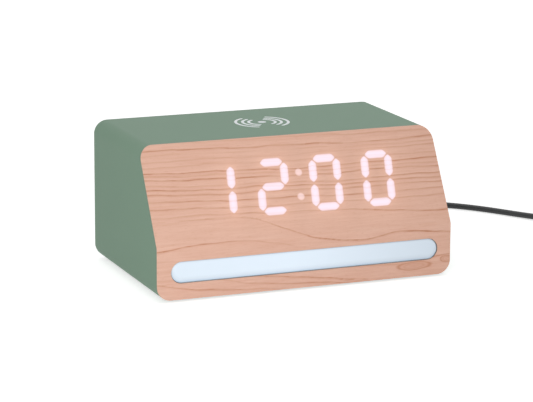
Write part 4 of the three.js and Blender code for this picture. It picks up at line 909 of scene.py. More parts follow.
class CLOCK_OT_camera(bpy.types.Operator):
    """Make the camera at the front left, a little above the clock"""
    bl_idname = "clock.camera"
    bl_label = "Camera"

    def execute(self, context):
        data = bpy.data.cameras.new("camera")
        data.sensor_width = SENSOR_WIDTH
        data.lens = CAMERA_LENS
        data.clip_end = FARTHEST_SEEN
        camera = bpy.data.objects.new("camera", data)
        right, up = Vector(CAMERA_RIGHT), Vector(CAMERA_UP)
        turn_table = Matrix((right, up, right.cross(up))).transposed()
        camera.matrix_world = Matrix.Translation(CAMERA_PLACE) @ turn_table.to_4x4()
        context.scene.collection.objects.link(camera)
        context.scene.camera = camera
        return {"FINISHED"}


# The strap's section: shares of twice its thickness outwards and of its width, with softened outer edges.
STRAP_SECTION = ((0, -0.5), (0.35, -0.5), (0.5, -0.47), (0.5, 0.47), (0.35, 0.5), (0, 0.5))
STRAP_CORNER = 2.6 * MM
# The strap's free end, a flat tongue over the top. Each of its levels: how much smaller it is, and its height
# over the coil in thicknesses of the strap.
TONGUE_LENGTH, TONGUE_CORNER, TONGUE_WIDTH = 10 * MM, 2.2 * MM, 0.94
TONGUE_LEVELS = ((0.06, 0.9), (0, 1.05), (0, 1.6), (0.06, 1.8))


class CLOCK_OT_lead(bpy.types.Operator):
    """Make the lead with its coil, tie and two plugs"""
    bl_idname = "clock.lead"
    bl_label = "Lead"

    def execute(self, context):
        scene = context.scene
        lead, rear, case, colours = scene.clock_lead, scene.clock_rear, scene.clock_case, scene.clock_colours
        # PVC jacket: smooth, a little waxy, with faint drawing marks.
        jacket = moulded_plastic("pvc_jacket_extruded", colours.lead, 0.42, 0.5 * MM, 0.02 * MM, 0.15)
        # TPE overmould: matt and slightly soft, from a finely eroded mould.
        grip = moulded_plastic("tpe_overmould_matt", shade(colours.lead, 1.2), 0.6, 0.35 * MM, 0.05 * MM,
                               0.15)
        # Nickel-plated spring steel: bright, with the rolling grain of the strip.
        plating = metal("nickel_plated_steel_rolled", linear("#c9cbce"), 0.25, 0.3 * MM, (1, 0.1, 1))
        line, centre, far_end, out_angle = lead_line(lead)
        path = smooth_line(line, 1.8 * MM)
        cord = add_piece("charging_lead", tube(path, lead.diameter / 2), jacket,
                         stands_for=("cord", "cord_coil", "cord_tail"))
        near = Matrix.Translation((rear.socket_x, case.depth / 2 - rear.inset + rear.gap, rear.socket_z))
        far = Matrix.Translation(far_end) @ Matrix.Rotation(out_angle + math.pi / 2, 4, "Z")
        near_grip = plug_grip(width=11.4 * MM, height=6.4 * MM, corner=2.6 * MM, size=20 * MM, relief=12 * MM)
        far_grip = plug_grip(width=15.4 * MM, height=FAR_GRIP_HEIGHT, corner=2.4 * MM, size=FAR_GRIP_LENGTH,
                             relief=FAR_RELIEF)
        near_shell = plug_shell(width=8.1 * MM, height=2.4 * MM, wall=0.35 * MM, corner=1.2 * MM,
                                size=6.2 * MM, root=2.5 * MM)
        far_shell = plug_shell(width=12 * MM, height=4.5 * MM, wall=0.4 * MM, corner=0.4 * MM,
                               size=18.5 * MM, root=3 * MM)
        tongue = box_shape((-5.3 * MM, -18 * MM, -2.05 * MM), (5.3 * MM, 2.8 * MM, -0.35 * MM))
        with_pieces = [
            add_piece(name, placed(shape, place), material, stands_for=(node,))
            for name, shape, place, material, node, slot in (
                ("near_plug_grip", near_grip, near, grip, "cord_plug", "black_plastic"),
                ("near_plug_shell", near_shell, near, plating, "cord_plug_shell", "plated_steel"),
                ("far_grip", far_grip, far, grip, "far_plug_grip", "black_plastic"),
                ("far_shell", joined([far_shell, tongue]), far, plating, "far_plug_shell", "plated_steel"))]
        with_pieces.append(self.tie(lead, centre))
        return {"FINISHED"}

    def tie(self, lead, centre):
        """A strap round the coil: a rounded rectangle loop, carried round a thin flat section."""
        room = lead.diameter / 2 + 2 * lead.gap
        inner = lead.outer - (lead.turns_in + lead.climb / 2) * lead.spacing - room
        outer = lead.outer + room
        high = lead.tie + 3 * lead.gap + lead.spacing + lead.diameter
        away, along = (np.array(STRAP_SECTION) * (2 * lead.tie, lead.tie_width)).T[..., None]
        loop = rounded_rect(outer - inner + 2 * away, high - lead.tie + 2 * away, STRAP_CORNER + away, 8)
        loop += [(inner + outer) / 2, (high + lead.tie) / 2]
        tongue = rounded_rect(TONGUE_LENGTH, TONGUE_WIDTH * lead.tie_width, TONGUE_CORNER)
        tongue += [(inner + outer) / 2 - MM, 0]
        middle = tongue.mean(axis=0)
        levels = [np.insert(middle + (tongue - middle) * (1 - smaller), 2, high + over * lead.tie, axis=1)
                  for smaller, over in TONGUE_LEVELS]
        strap = joined([ring_shape(along_y(loop, along)), loft(np.stack(levels))])
        place = Matrix.Translation((*centre[:2], 0)) @ Matrix.Rotation(lead.tie_turn, 4, "Z")
        return add_piece("coil_tie", placed(strap, place), nylon_webbing(), stands_for=("cord_tie",))


# Room round a foot in its pocket, the groove in its sole as shares of its radius and depths, and the radius
# of the flat ends that close it at its axis.
FOOT_ROOM = 0.3 * MM
FOOT_GROOVE = ((0.62, 0), (0.66, 0.15 * MM), (0.72, 0.15 * MM), (0.76, 0))
FOOT_AXIS = 0.5 * MM


class CLOCK_OT_case(bpy.types.Operator):
    """Make the one-piece case and its four feet"""
    bl_idname = "clock.case"
    bl_label = "Case and feet"

    def execute(self, context):
        scene = context.scene
        case, face, colours = scene.clock_case, scene.clock_face, scene.clock_colours
        # ABS with a fine spark-eroded texture: matt, so its edges glow softly and nothing mirrors.
        plastic = moulded_plastic("abs_sage_green_fine_texture", colours.sage, 0.62, 0.45 * MM, 0.03 * MM,
                                  0.012)
        places = [(side * (case.width / 2 - case.foot_side), end * (case.depth / 2 - case.foot_end))
                  for side in (-1, 1) for end in (-1, 1)]
        radius, pocket = case.foot / 2, case.lift + case.foot_pocket
        cutters = [turned([(radius + FOOT_ROOM, -MM), (radius + FOOT_ROOM, pocket)], (x, y, 0), 64, "Z")
                   for x, y in places]
        add_piece("case_shell", self.shell(case, face), plastic, stands_for=("housing",),
                  sharp=50, cutters=cutters)
        # Silicone rubber: dull black with a faint bloom.
        rubber = moulded_plastic("silicone_rubber_moulded", linear("#232425"), 0.75, 0.4 * MM, 0.05 * MM, 0.2)
        top = pocket - FOOT_ROOM
        profile = [(FOOT_AXIS, 0), *((share * radius, deep) for share, deep in FOOT_GROOVE),
                   (radius, 0), (radius, top), (FOOT_AXIS, top)]
        profile = round_corners(profile, 0.45 * MM)
        for i, (x, y) in enumerate(places, 1):
            add_piece(f"rubber_foot_{i}", turned(profile, (x, y, 0), 48, "Z"), rubber,
                      stands_for=(f"foot_{i}",))
        return {"FINISHED"}

    def shell(self, case, face):
        """The wall's section carried round the outline: its front edge follows the face, its rear is square.

        Each row of the section holds its depth inside the outline, its distance from the front or the rear,
        and 0 for the front or 1 for the rear.
        """
        bend = bend_heights(case)
        low, high = case.lift + case.corner, case.lift + case.height - case.corner
        sides = np.concatenate([np.linspace(low, bend[0], 6)[1:-1], bend,
                                np.linspace(bend[-1], high, 9)[1:-1]])
        anchors, rays = outline_rays(case, sides)
        arc = np.linspace(0, np.pi / 2, 6)
        bow = np.stack([1 - np.sin(arc), 1 - np.cos(arc)], axis=-1)
        lip, front_band, rear_band, inner_band = 0.3 * MM, 1.2 * MM, 3 * MM, 2 * MM
        front = [(*pair, 0) for pair in bow * case.front_edge] + [(0, front_band, 0)]
        rear = [(0, rear_band, 1)] + [(*pair, 1) for pair in (bow * case.rear_edge)[::-1]]
        inside = [(case.wall - lip * (1 - math.sin(a)), lip * (1 - math.cos(a)), 1) for a in arc]
        inside += [(case.wall, inner_band, 1), (case.wall, front_band, 0), (case.wall, 0, 0)]
        deep, along, at_rear = np.array(front + rear + inside).T[..., None]
        section = anchors + (case.corner - deep[..., None]) * rays
        from_front = front_y(case, section[..., 1], face.veneer + face.bond) + along
        return ring_shape(along_y(section, np.where(at_rear > 0, case.depth / 2 - along, from_front)))


# A lit stroke or dot is a film of light over the wood. Each of its rings, in millimetres: how far it lies
# inside the rim and above the wood, then how lit it is, from nothing at the rim to full in the middle.
FILM_RINGS = ((-0.25, -0.2, 0), (-0.25, 0.02, 0.08), (0.05, 0.03, 0.5), (0.35, 0.04, 0.84),
              (0.9, 0.05, 0.95), (1.8, 0.05, 1))
DOT_LEVEL = 0.88
# The strokes' light spreads through the veneer: the strength and the reach in millimetres of a bright fringe,
# and of a faint glow far round it.
SPREADING = ((0.6, 1.2), (1.2, 9))
# Points of the veneer's mesh: across it, up the lean, down a lower side, along the bottom, round a corner and
# out from the slot.
ACROSS, UP_LEAN, DOWN_SIDE, ALONG_BOTTOM, ROUND_CORNER, FROM_SLOT = 221, 66, 26, 203, 15, 15


class CLOCK_OT_wood_face(bpy.types.Operator):
    """Make the veneer that runs over the whole front, and the lit digits that shine through it"""
    bl_idname = "clock.wood_face"
    bl_label = "Wood face and digits"

    def execute(self, context):
        scene = context.scene
        case, face, colours = scene.clock_case, scene.clock_face, scene.clock_colours
        wood = beech_veneer(colours)
        veneer = add_piece("beech_face", self.sheet(case, face), wood, stands_for=("wood_face",),
                           sharp=50)
        self.dress(case, veneer)
        x, y, z = coordinates(veneer).T
        distance = np.maximum(stroke_distance(case, face, x, flat_rise(case, z)) - face.stroke / 2, 0)
        set_attribute(veneer, "glow", sum(strength * np.exp(-distance / (reach * MM))
                                          for strength, reach in SPREADING))
        # The back half of the veneer along the slot is marked for painted shade on the slot's cut edge.
        near_slot = from_bar(face, x, z) < face.bar_height / 2 + 2 * face.slot_gap
        set_attribute(veneer, "cut", near_slot & (y > face.veneer / 2 - case.depth / 2))
        insets, heights, levels = np.array(FILM_RINGS).T
        insets, heights = insets * MM, heights * MM
        for name, rings, full, dot in (("lit_digits", stroke_rings(case, face, insets), 1, 0),
                                       ("lit_dots", self.dots(case, face, insets), DOT_LEVEL, 1)):
            shapes = [loft(on_slope(case, ring[..., 0], ring[..., 1], heights[:, None])) for ring in rings]
            film = add_piece(name, joined(shapes), wood, sharp=80)
            self.dress(case, film)
            lit = np.broadcast_to(full * levels[:, None], rings.shape[:3]).reshape(-1)
            set_attribute(film, "lit", lit)
            set_attribute(film, "dot", np.full(len(lit), dot))
        return {"FINISHED"}

    def dress(self, case, piece):
        """Gives a piece of the front its flat map and its grain."""
        points = coordinates(piece)
        rise = flat_rise(case, points[:, 2])
        set_flat_map(piece, np.stack([points[:, 0], rise], axis=-1))
        for name, values in zip(("ring", "room", "bold", "knot"), grain(case, points[:, 0], rise)):
            set_attribute(piece, name, values)

    def dots(self, case, face, insets):
        """Both colon dots: rings of radius dot / 2 - inset on the slope, as X and the distance up it."""
        _, rows = stroke_centres(case, face)
        angle = round_once(40)
        radius = (face.dot / 2 - insets)[:, None]
        ring = np.stack([radius * np.cos(angle), radius * np.sin(angle)], axis=-1)
        up = np.array([-1, 1]) * rows / 2
        middle = np.stack([face.offset + up * math.tan(face.slant), slope_middle(case) + face.raised + up],
                          axis=-1)
        return middle[:, None, None] + ring

    def sheet(self, case, face):
        """The veneer as a closed sheet over X and Z; its two sides lie at front_y for insets 0 and veneer.

        Below the bend, points run from the slot's nearest point out to the outline; above it, rows run from
        side to side, and get shorter round the top corners.
        """
        half, top = case.width / 2, case.lift + case.height
        bend = bend_heights(case)
        arc = np.linspace(0, np.pi / 2, ROUND_CORNER)
        corner = top - case.corner + case.corner * np.sin(arc)
        heights = np.concatenate([bend, np.linspace(bend[-1], corner[0], UP_LEAN)[1:-1], corner])
        over = np.maximum(heights - (top - case.corner), 0)
        reach = half - case.corner + np.sqrt(np.maximum(case.corner ** 2 - over ** 2, 0))
        across = np.linspace(-1, 1, ACROSS)
        upper = np.stack([reach[:, None] * across, np.repeat(heights[:, None], ACROSS, axis=1)], axis=-1)
        upper_faces = grid_faces(len(heights), ACROSS)

        low = case.lift + case.corner
        side = np.linspace(bend[0], low, DOWN_SIDE)[1:-1]
        right_arc = np.stack([half - case.corner * (1 - np.cos(arc)), low - case.corner * np.sin(arc)], -1)
        bottom = np.linspace(half - case.corner, case.corner - half, ALONG_BOTTOM)[1:-1]
        outer = np.concatenate([
            np.stack([half * across, np.full_like(across, bend[0])], -1),
            np.stack([np.full_like(side, half), side], -1),
            right_arc,
            np.stack([bottom, np.full_like(bottom, case.lift)], -1),
            right_arc[::-1] * [-1, 1],
            np.stack([np.full_like(side, -half), side[::-1]], -1)])
        radius = face.bar_height / 2 + face.slot_gap
        spine = (face.bar_length - face.bar_height) / 2
        nearest = np.stack([np.clip(outer[:, 0], -spine, spine), np.full(len(outer), face.bar_centre)], -1)
        away = outer - nearest
        inner = nearest + radius * away / np.linalg.norm(away, axis=1, keepdims=True)
        share = np.linspace(0, 1, FROM_SLOT)[:, None, None]
        lower = inner + (outer - inner) * share
        lower_faces = grid_faces(FROM_SLOT, len(outer), wrap_columns=True)

        flat, faces = joined([(upper.reshape(-1, 2), upper_faces), (lower.reshape(-1, 2), lower_faces)])
        _, index, inverse = np.unique(np.round(flat / (SAME_PLACE / 2)), axis=0, return_index=True,
                                      return_inverse=True)
        flat, faces = flat[index], inverse.reshape(-1)[np.array(faces)]
        x, z = flat.T
        sides = [np.stack([x, front_y(case, z, inset), z], -1) for inset in (0, face.veneer)]
        return closed_sheet(*sides, faces)


# The lens's rings from its hidden rear to its middle: the share of its height that a ring lies inside the
# rim, and how far behind the wood's face it lies, in millimetres.
LENS_RINGS = ((0, 3.4), (0, 0.85), (0.02, 0.5), (0.06, 0.29), (0.12, 0.17), (0.2, 0.1), (0.3, 0.065),
              (0.4, 0.05), (0.47, 0.05))
# The flange behind it: how far it stands out all round, and where it starts and ends behind the wood's face.
FLANGE, FLANGE_FRONT, FLANGE_REAR = 1.4 * MM, 3.1 * MM, 4.1 * MM
# Behind the wood's face, the lens is painted near black past this depth: painted shade in the slot.
LENS_SHADE_DEPTH = 0.7 * MM


def opal_acrylic(face, colours):
    """Opal acrylic over LEDs: glows evenly, a little bluer towards its rim, with a satin surface.

    The attribute 'spread' is 0 where shade is painted in the slot, and 1 where it is whitest.
    """
    material, tree, shader = new_material("opal_acrylic_lit")
    spread = add_node(tree, "Attribute", attribute_name="spread").outputs["Fac"]
    place = add_node(tree, "TexCoord").outputs["Object"]
    cloud = add_node(tree, "TexNoise", {
        "Vector": place, "Scale": 1 / (12 * MM), "Detail": 2.0}).outputs["Fac"]
    level = add_node(tree, "Math", {0: cloud, 1: 0.1, 2: spread}, operation="MULTIPLY_ADD").outputs[0]
    # The lowest stop paints the lens near black: the painted shade in the slot.
    tint = add_node(tree, "ValToRGB", {"Fac": level}, [
        (0.1, shade(colours.lens_rim, 0.1)), (0.2, colours.lens_rim), (0.5, shade(colours.lens, 0.93)),
        (0.9, colours.lens)]).outputs["Color"]
    body = add_node(tree, "Mix", {0: 0.5, 6: tint, 7: (0, 0, 0, 1)}, data_type="RGBA").outputs[2]
    # The glow is painted strongest a little left of the middle and dimmest at the right end: painted shade
    # that follows the lamp light falling off across the front.
    along = add_node(tree, "SeparateXYZ", {"Vector": place}).outputs["X"]
    along = add_node(tree, "MapRange", {
        "Value": along, "From Min": -face.bar_length / 2, "From Max": face.bar_length / 2}).outputs[0]
    power = add_node(tree, "ValToRGB", {"Fac": along}, [(0.0, 0.53), (0.45, 0.58), (1.0, 0.4)])
    for source, target in ((body, "Base Color"), (tint, "Emission Color"),
                           (power.outputs["Color"], "Emission Strength")):
        tree.links.new(source, shader.inputs[target])
    shader.inputs["Roughness"].default_value = 0.35
    return material


class CLOCK_OT_night_light(bpy.types.Operator):
    """Make the milky lens of the night light"""
    bl_idname = "clock.night_light"
    bl_label = "Night light"

    def execute(self, context):
        scene = context.scene
        case, face, colours = scene.clock_case, scene.clock_face, scene.clock_colours
        share, depth = np.array(LENS_RINGS).T[..., None]
        inset = share * face.bar_height
        width, height = face.bar_length - 2 * inset, face.bar_height - 2 * inset
        section = rounded_rect(width, height, height / 2, 16) + [0, face.bar_centre]
        bulb = loft(along_y(section, depth * MM - case.depth / 2))
        flange = rounded_rect(face.bar_length + 2 * FLANGE, face.bar_height + 2 * FLANGE,
                              face.bar_height / 2 + FLANGE, 16) + [0, face.bar_centre]
        flange = prism(flange, FLANGE_FRONT - case.depth / 2, FLANGE_REAR - case.depth / 2)
        lens = add_piece("night_light_lens", joined([bulb, flange]), opal_acrylic(face, colours),
                         stands_for=("light_bar_lens",), sharp=50)
        x, y, z = coordinates(lens).T
        inside = 1 - 2 * from_bar(face, x, z) / face.bar_height
        up = 2 * (z - face.bar_centre) / face.bar_height
        # It is bluest at its rim, and whitest in the middle and towards its top.
        spread = 0.2 + inside * (1.6 + 1.2 * up) + 0.2 * np.maximum(up, 0)
        # Past that depth, in the slot, the lens is painted near black as shade.
        dark = y > LENS_SHADE_DEPTH - case.depth / 2
        set_attribute(lens, "spread", np.where(dark, 0, np.clip(spread, 0, 1)))
        return {"FINISHED"}


# The mark's arcs: their radii, and half their width and half their span. Then the radius of its dot.
ARC_RADII = (7.2 * MM, 10.5 * MM, 14.2 * MM)
ARC_HALF, ARC_SPAN = 0.78 * MM, math.radians(60)
MARK_DOT = 2.3 * MM
# The ink reaches a little into the surface, and stands out of it.
INK_LOW, INK_HIGH = -0.05 * MM, 0.06 * MM


class CLOCK_OT_charging_mark(bpy.types.Operator):
    """Print a plain charging mark on the top: a dot between two fans of arcs"""
    bl_idname = "clock.charging_mark"
    bl_label = "Charging mark"

    def execute(self, context):
        case, face, colours = context.scene.clock_case, context.scene.clock_face, context.scene.clock_colours
        # Screen-printed ink: a thin satin film with tiny pinholes.
        ink = moulded_plastic("screen_print_ink_satin", colours.ink, 0.5, 0.3 * MM, 0.01 * MM, 0.04)
        top = case.lift + case.height
        middle = (face.mark_x, face.mark_y)
        arcs = [self.arc(side, radius, top, middle) for side in (0, math.pi) for radius in ARC_RADII]
        dot = turned([(MARK_DOT, top + INK_LOW), (MARK_DOT, top + INK_HIGH - 0.02 * MM),
                      (MARK_DOT - 0.1 * MM, top + INK_HIGH)], (*middle, 0), 40, "Z")
        add_piece("charging_mark_print", joined([*arcs, dot]), ink)
        return {"FINISHED"}

    def arc(self, facing, radius, top, middle):
        """A band along an arc: radius * (cos a, sin a), whose width falls off round both ends."""
        straight, tip = ARC_SPAN * radius, 0.02 * MM
        share = np.sin(np.linspace(-np.pi / 2, np.pi / 2, 41))
        along = share * (straight + ARC_HALF)
        past = np.maximum(np.abs(along) - straight, 0)
        width = np.sqrt(np.maximum(ARC_HALF ** 2 - past ** 2, tip ** 2))[:, None]
        angle = (facing + along / radius)[:, None]
        distance = radius + width * [-1, 1, 1, -1]
        z = np.broadcast_to(top + np.array([INK_LOW, INK_LOW, INK_HIGH, INK_HIGH]), distance.shape)
        return loft(np.stack([middle[0] + distance * np.cos(angle), middle[1] + distance * np.sin(angle), z],
                             axis=-1))


BUTTONS = ("set", "up", "down", "light")
# The cover's rear edge: how far each of its rings lies inside the rim, and as far in front of the rear face.
COVER_EDGE = (0, 0.03, 0.1, 0.25)
# Bevels round the screw seats and the button holes, and the socket's mouth.
SEAT_BEVEL, HOLE_BEVEL = 0.2 * MM, 0.3 * MM
MOUTH_WIDTH, MOUTH_HEIGHT = 9.9 * MM, 4.2 * MM
# A pan head's outline: shares of its radius, and heights above its seat.
PAN_HEAD = ((1, 0), (1, 0.8 * MM), (0.75, 1.45 * MM), (0.3, 1.6 * MM))
# A cross recess: its floor and its open end above the seat, how wide it is there, and an arm's half width.
CROSS_PLACES = ((0.75 * MM,), (2.5 * MM,))
CROSS_TAPER = (0.7, 1.15)
CROSS_HALF = 0.35 * MM
# The print on a button reaches a little into it, and stands out of it.
SYMBOL_LOW, SYMBOL_HIGH = -0.04 * MM, 0.05 * MM
ARROWHEAD = ((-1.7, -1.0), (1.7, -1.0), (0, 1.6))
# The ring's radii on the set button, and the radii of its dot and of the sun.
RING_INNER, RING_OUTER, RING_DOT, SUN = 1.35 * MM, 1.85 * MM, 0.5 * MM, 0.95 * MM
# Each of the sun's rays: its length, width and corner, and how far out its middle is.
SUN_RAY, RAY_PLACE = (0.75 * MM, 0.36 * MM, 0.17 * MM), 1.75 * MM


class CLOCK_OT_rear(bpy.types.Operator):
    """Make the rear cover with its screws and four buttons"""
    bl_idname = "clock.rear"
    bl_label = "Rear cover and buttons"

    def execute(self, context):
        case, rear, colours = context.scene.clock_case, context.scene.clock_rear, context.scene.clock_colours
        # The cover is of the same ABS as the case, from its own mould.
        plastic = bpy.data.materials["abs_sage_green_fine_texture"]
        back = case.depth / 2 - rear.inset
        front = back - rear.thickness
        inner = case.width / 2 - case.wall - rear.screw_inset
        low, high = (case.lift + case.wall + rear.screw_inset,
                     case.lift + case.height - case.wall - rear.screw_inset)
        screws = [(side * inner, z) for z in (low, high) for side in (-1, 1)]
        row = case.lift + case.height - rear.button_drop
        keys = [(i - (len(BUTTONS) - 1) / 2) * rear.button_pitch for i in range(len(BUTTONS))]
        cutters = self.holes(case, rear, front, back, screws, keys, row)
        add_piece("rear_panel", self.plate(case, rear, front, back), plastic, stands_for=("rear_cover",),
                  sharp=30, cutters=cutters)
        steel = bpy.data.materials["nickel_plated_steel_rolled"]
        seat = back - rear.thickness / 2 + rear.gap
        for i, (x, z) in enumerate(screws, 1):
            add_piece(f"rear_screw_{i}", self.screw(rear, x, seat, z), steel,
                      stands_for=(f"cover_screw_{i}",),
                      cutters=self.cross(rear, x, seat, z))
        # Harder grey-green ABS, polished a little by fingers.
        cap = moulded_plastic("abs_button_satin", colours.button, 0.45, 0.4 * MM, 0.02 * MM, 0.03)
        # Pad-printed symbols in the same white as the charging mark.
        ink = bpy.data.materials["screen_print_ink_satin"]
        for use, x in zip(BUTTONS, keys):
            add_piece(f"{use}_key_cap", self.cap(rear, x, front, back, row), cap, body=f"{use}_key",
                      stands_for=(f"{use}_button",))
            add_piece(f"{use}_key_symbol", self.symbol(use, x, back + rear.button_proud, row), ink,
                      body=f"{use}_key")
        return {"FINISHED"}

    def plate(self, case, rear, front, back):
        """The outline at the wall plus a gap, stacked from the front to a softly rounded rear edge."""
        anchors, rays = outline_rays(case, np.array([case.lift + case.height / 2]))
        edge = np.array(COVER_EDGE) * MM
        inset = case.wall + rear.gap + np.append(0, edge)
        section = anchors + (case.corner - inset[:, None, None]) * rays
        return loft(along_y(section, np.append(front, back - edge[::-1])[:, None]))

    def holes(self, case, rear, front, back, screws, keys, row):
        """What is cut out: screw seats and holes, button holes, sound slots and the socket's mouth."""
        near, far = front - MM, back + MM
        shank, seat = rear.screw_shank / 2 + rear.gap, rear.screw_head / 2 + rear.gap
        ledge = back - rear.thickness / 2
        for_screw = [(shank, near), (shank, ledge), (seat, ledge), (seat, back - SEAT_BEVEL),
                     (seat + SEAT_BEVEL, back), (seat + SEAT_BEVEL, far)]
        hole = rear.button / 2 + rear.gap
        for_button = [(hole, near), (hole, back - HOLE_BEVEL), (hole + HOLE_BEVEL, back),
                      (hole + HOLE_BEVEL, far)]
        middle = case.lift + case.height / 2
        slot = rounded_rect(rear.slot_length, rear.slot_width, rear.slot_width / 2)
        mouth = rounded_rect(MOUTH_WIDTH, MOUTH_HEIGHT, MOUTH_HEIGHT / 2) + [rear.socket_x, rear.socket_z]
        return [*(turned(for_screw, (x, 0, z)) for x, z in screws),
                *(turned(for_button, (x, 0, row), 64) for x in keys),
                *(prism(slot + [-rear.sounder_x, middle + i * rear.slot_pitch], near, far)
                  for i in range(-2, 3)),
                prism(mouth, near, far)]

    def screw(self, rear, x, seat, z):
        """A pan-head screw along -Y: head, shank and tapered tip, turned from one rounded profile."""
        axis, taper = 0.1 * MM, 0.8 * MM
        head, shank, tip = rear.screw_head / 2, rear.screw_shank / 2, seat - rear.screw_length
        profile = [(axis, tip), (shank * 0.5, tip), (shank, tip + taper), (shank, seat),
                   *((head * share, seat + above) for share, above in PAN_HEAD),
                   (axis, seat + PAN_HEAD[-1][1])]
        return turned(round_corners(profile, 0.4 * MM), (x, 0, z), 40)

    def cross(self, rear, x, seat, z):
        """The two arms of a cross recess, each narrower at its floor."""
        arm = rear.screw_head * 0.3
        taper = np.array(CROSS_TAPER)[:, None, None]
        return [loft(along_y(rounded_rect(2 * wide, 2 * tall, 0.15 * MM, 3) * taper + [x, z],
                             seat + np.array(CROSS_PLACES)))
                for wide, tall in ((arm, CROSS_HALF), (CROSS_HALF, arm))]

    def cap(self, rear, x, front, back, row):
        """A button turned about its own axis: stem, flange and cap with a rounded edge."""
        axis, stem, radius = 0.2 * MM, 1.7 * MM, rear.button / 2
        flange, tip = radius + 1.2 * MM, back + rear.button_proud
        flange_back = front - rear.gap
        flange_front = flange_back - MM
        end = flange_front - 2 * MM
        profile = [(axis, end), (stem, end), (stem, flange_front), (flange, flange_front),
                   (flange, flange_back), (radius, flange_back), (radius, tip - 0.05 * MM),
                   (radius - 0.9 * MM, tip), (axis, tip)]
        return turned(round_corners(profile, 0.4 * MM), (x, 0, row), 56)

    def symbol(self, use, x, tip, row):
        """A plain symbol printed on the cap: a ring, an arrowhead up or down, or a small sun."""
        near, far = tip + SYMBOL_LOW, tip + SYMBOL_HIGH
        if use in ("up", "down"):
            points = np.array(ARROWHEAD) * MM * [1, 1 if use == "up" else -1]
            return prism(round_corners(points, 0.4 * MM, closed=True) + [x, row], near, far)
        if use == "set":
            angle = round_once(48)
            radius = np.array([RING_INNER, RING_OUTER, RING_OUTER, RING_INNER])[:, None]
            rings = np.stack([x + radius * np.cos(angle), row + radius * np.sin(angle)], axis=-1)
            return joined([ring_shape(along_y(rings, [[near], [near], [far], [far]])),
                           turned([(RING_DOT, near), (RING_DOT, far)], (x, 0, row), 24)])
        rays = [turned([(SUN, near), (SUN, far)], (x, 0, row), 32)]
        for a in np.arange(8) * np.pi / 4:
            about = np.array([(math.cos(a), math.sin(a)), (-math.sin(a), math.cos(a))])
            ray = (rounded_rect(*SUN_RAY, 3) + [RAY_PLACE, 0]) @ about
            rays.append(prism(ray + [x, row], near, far))
        return joined(rays)


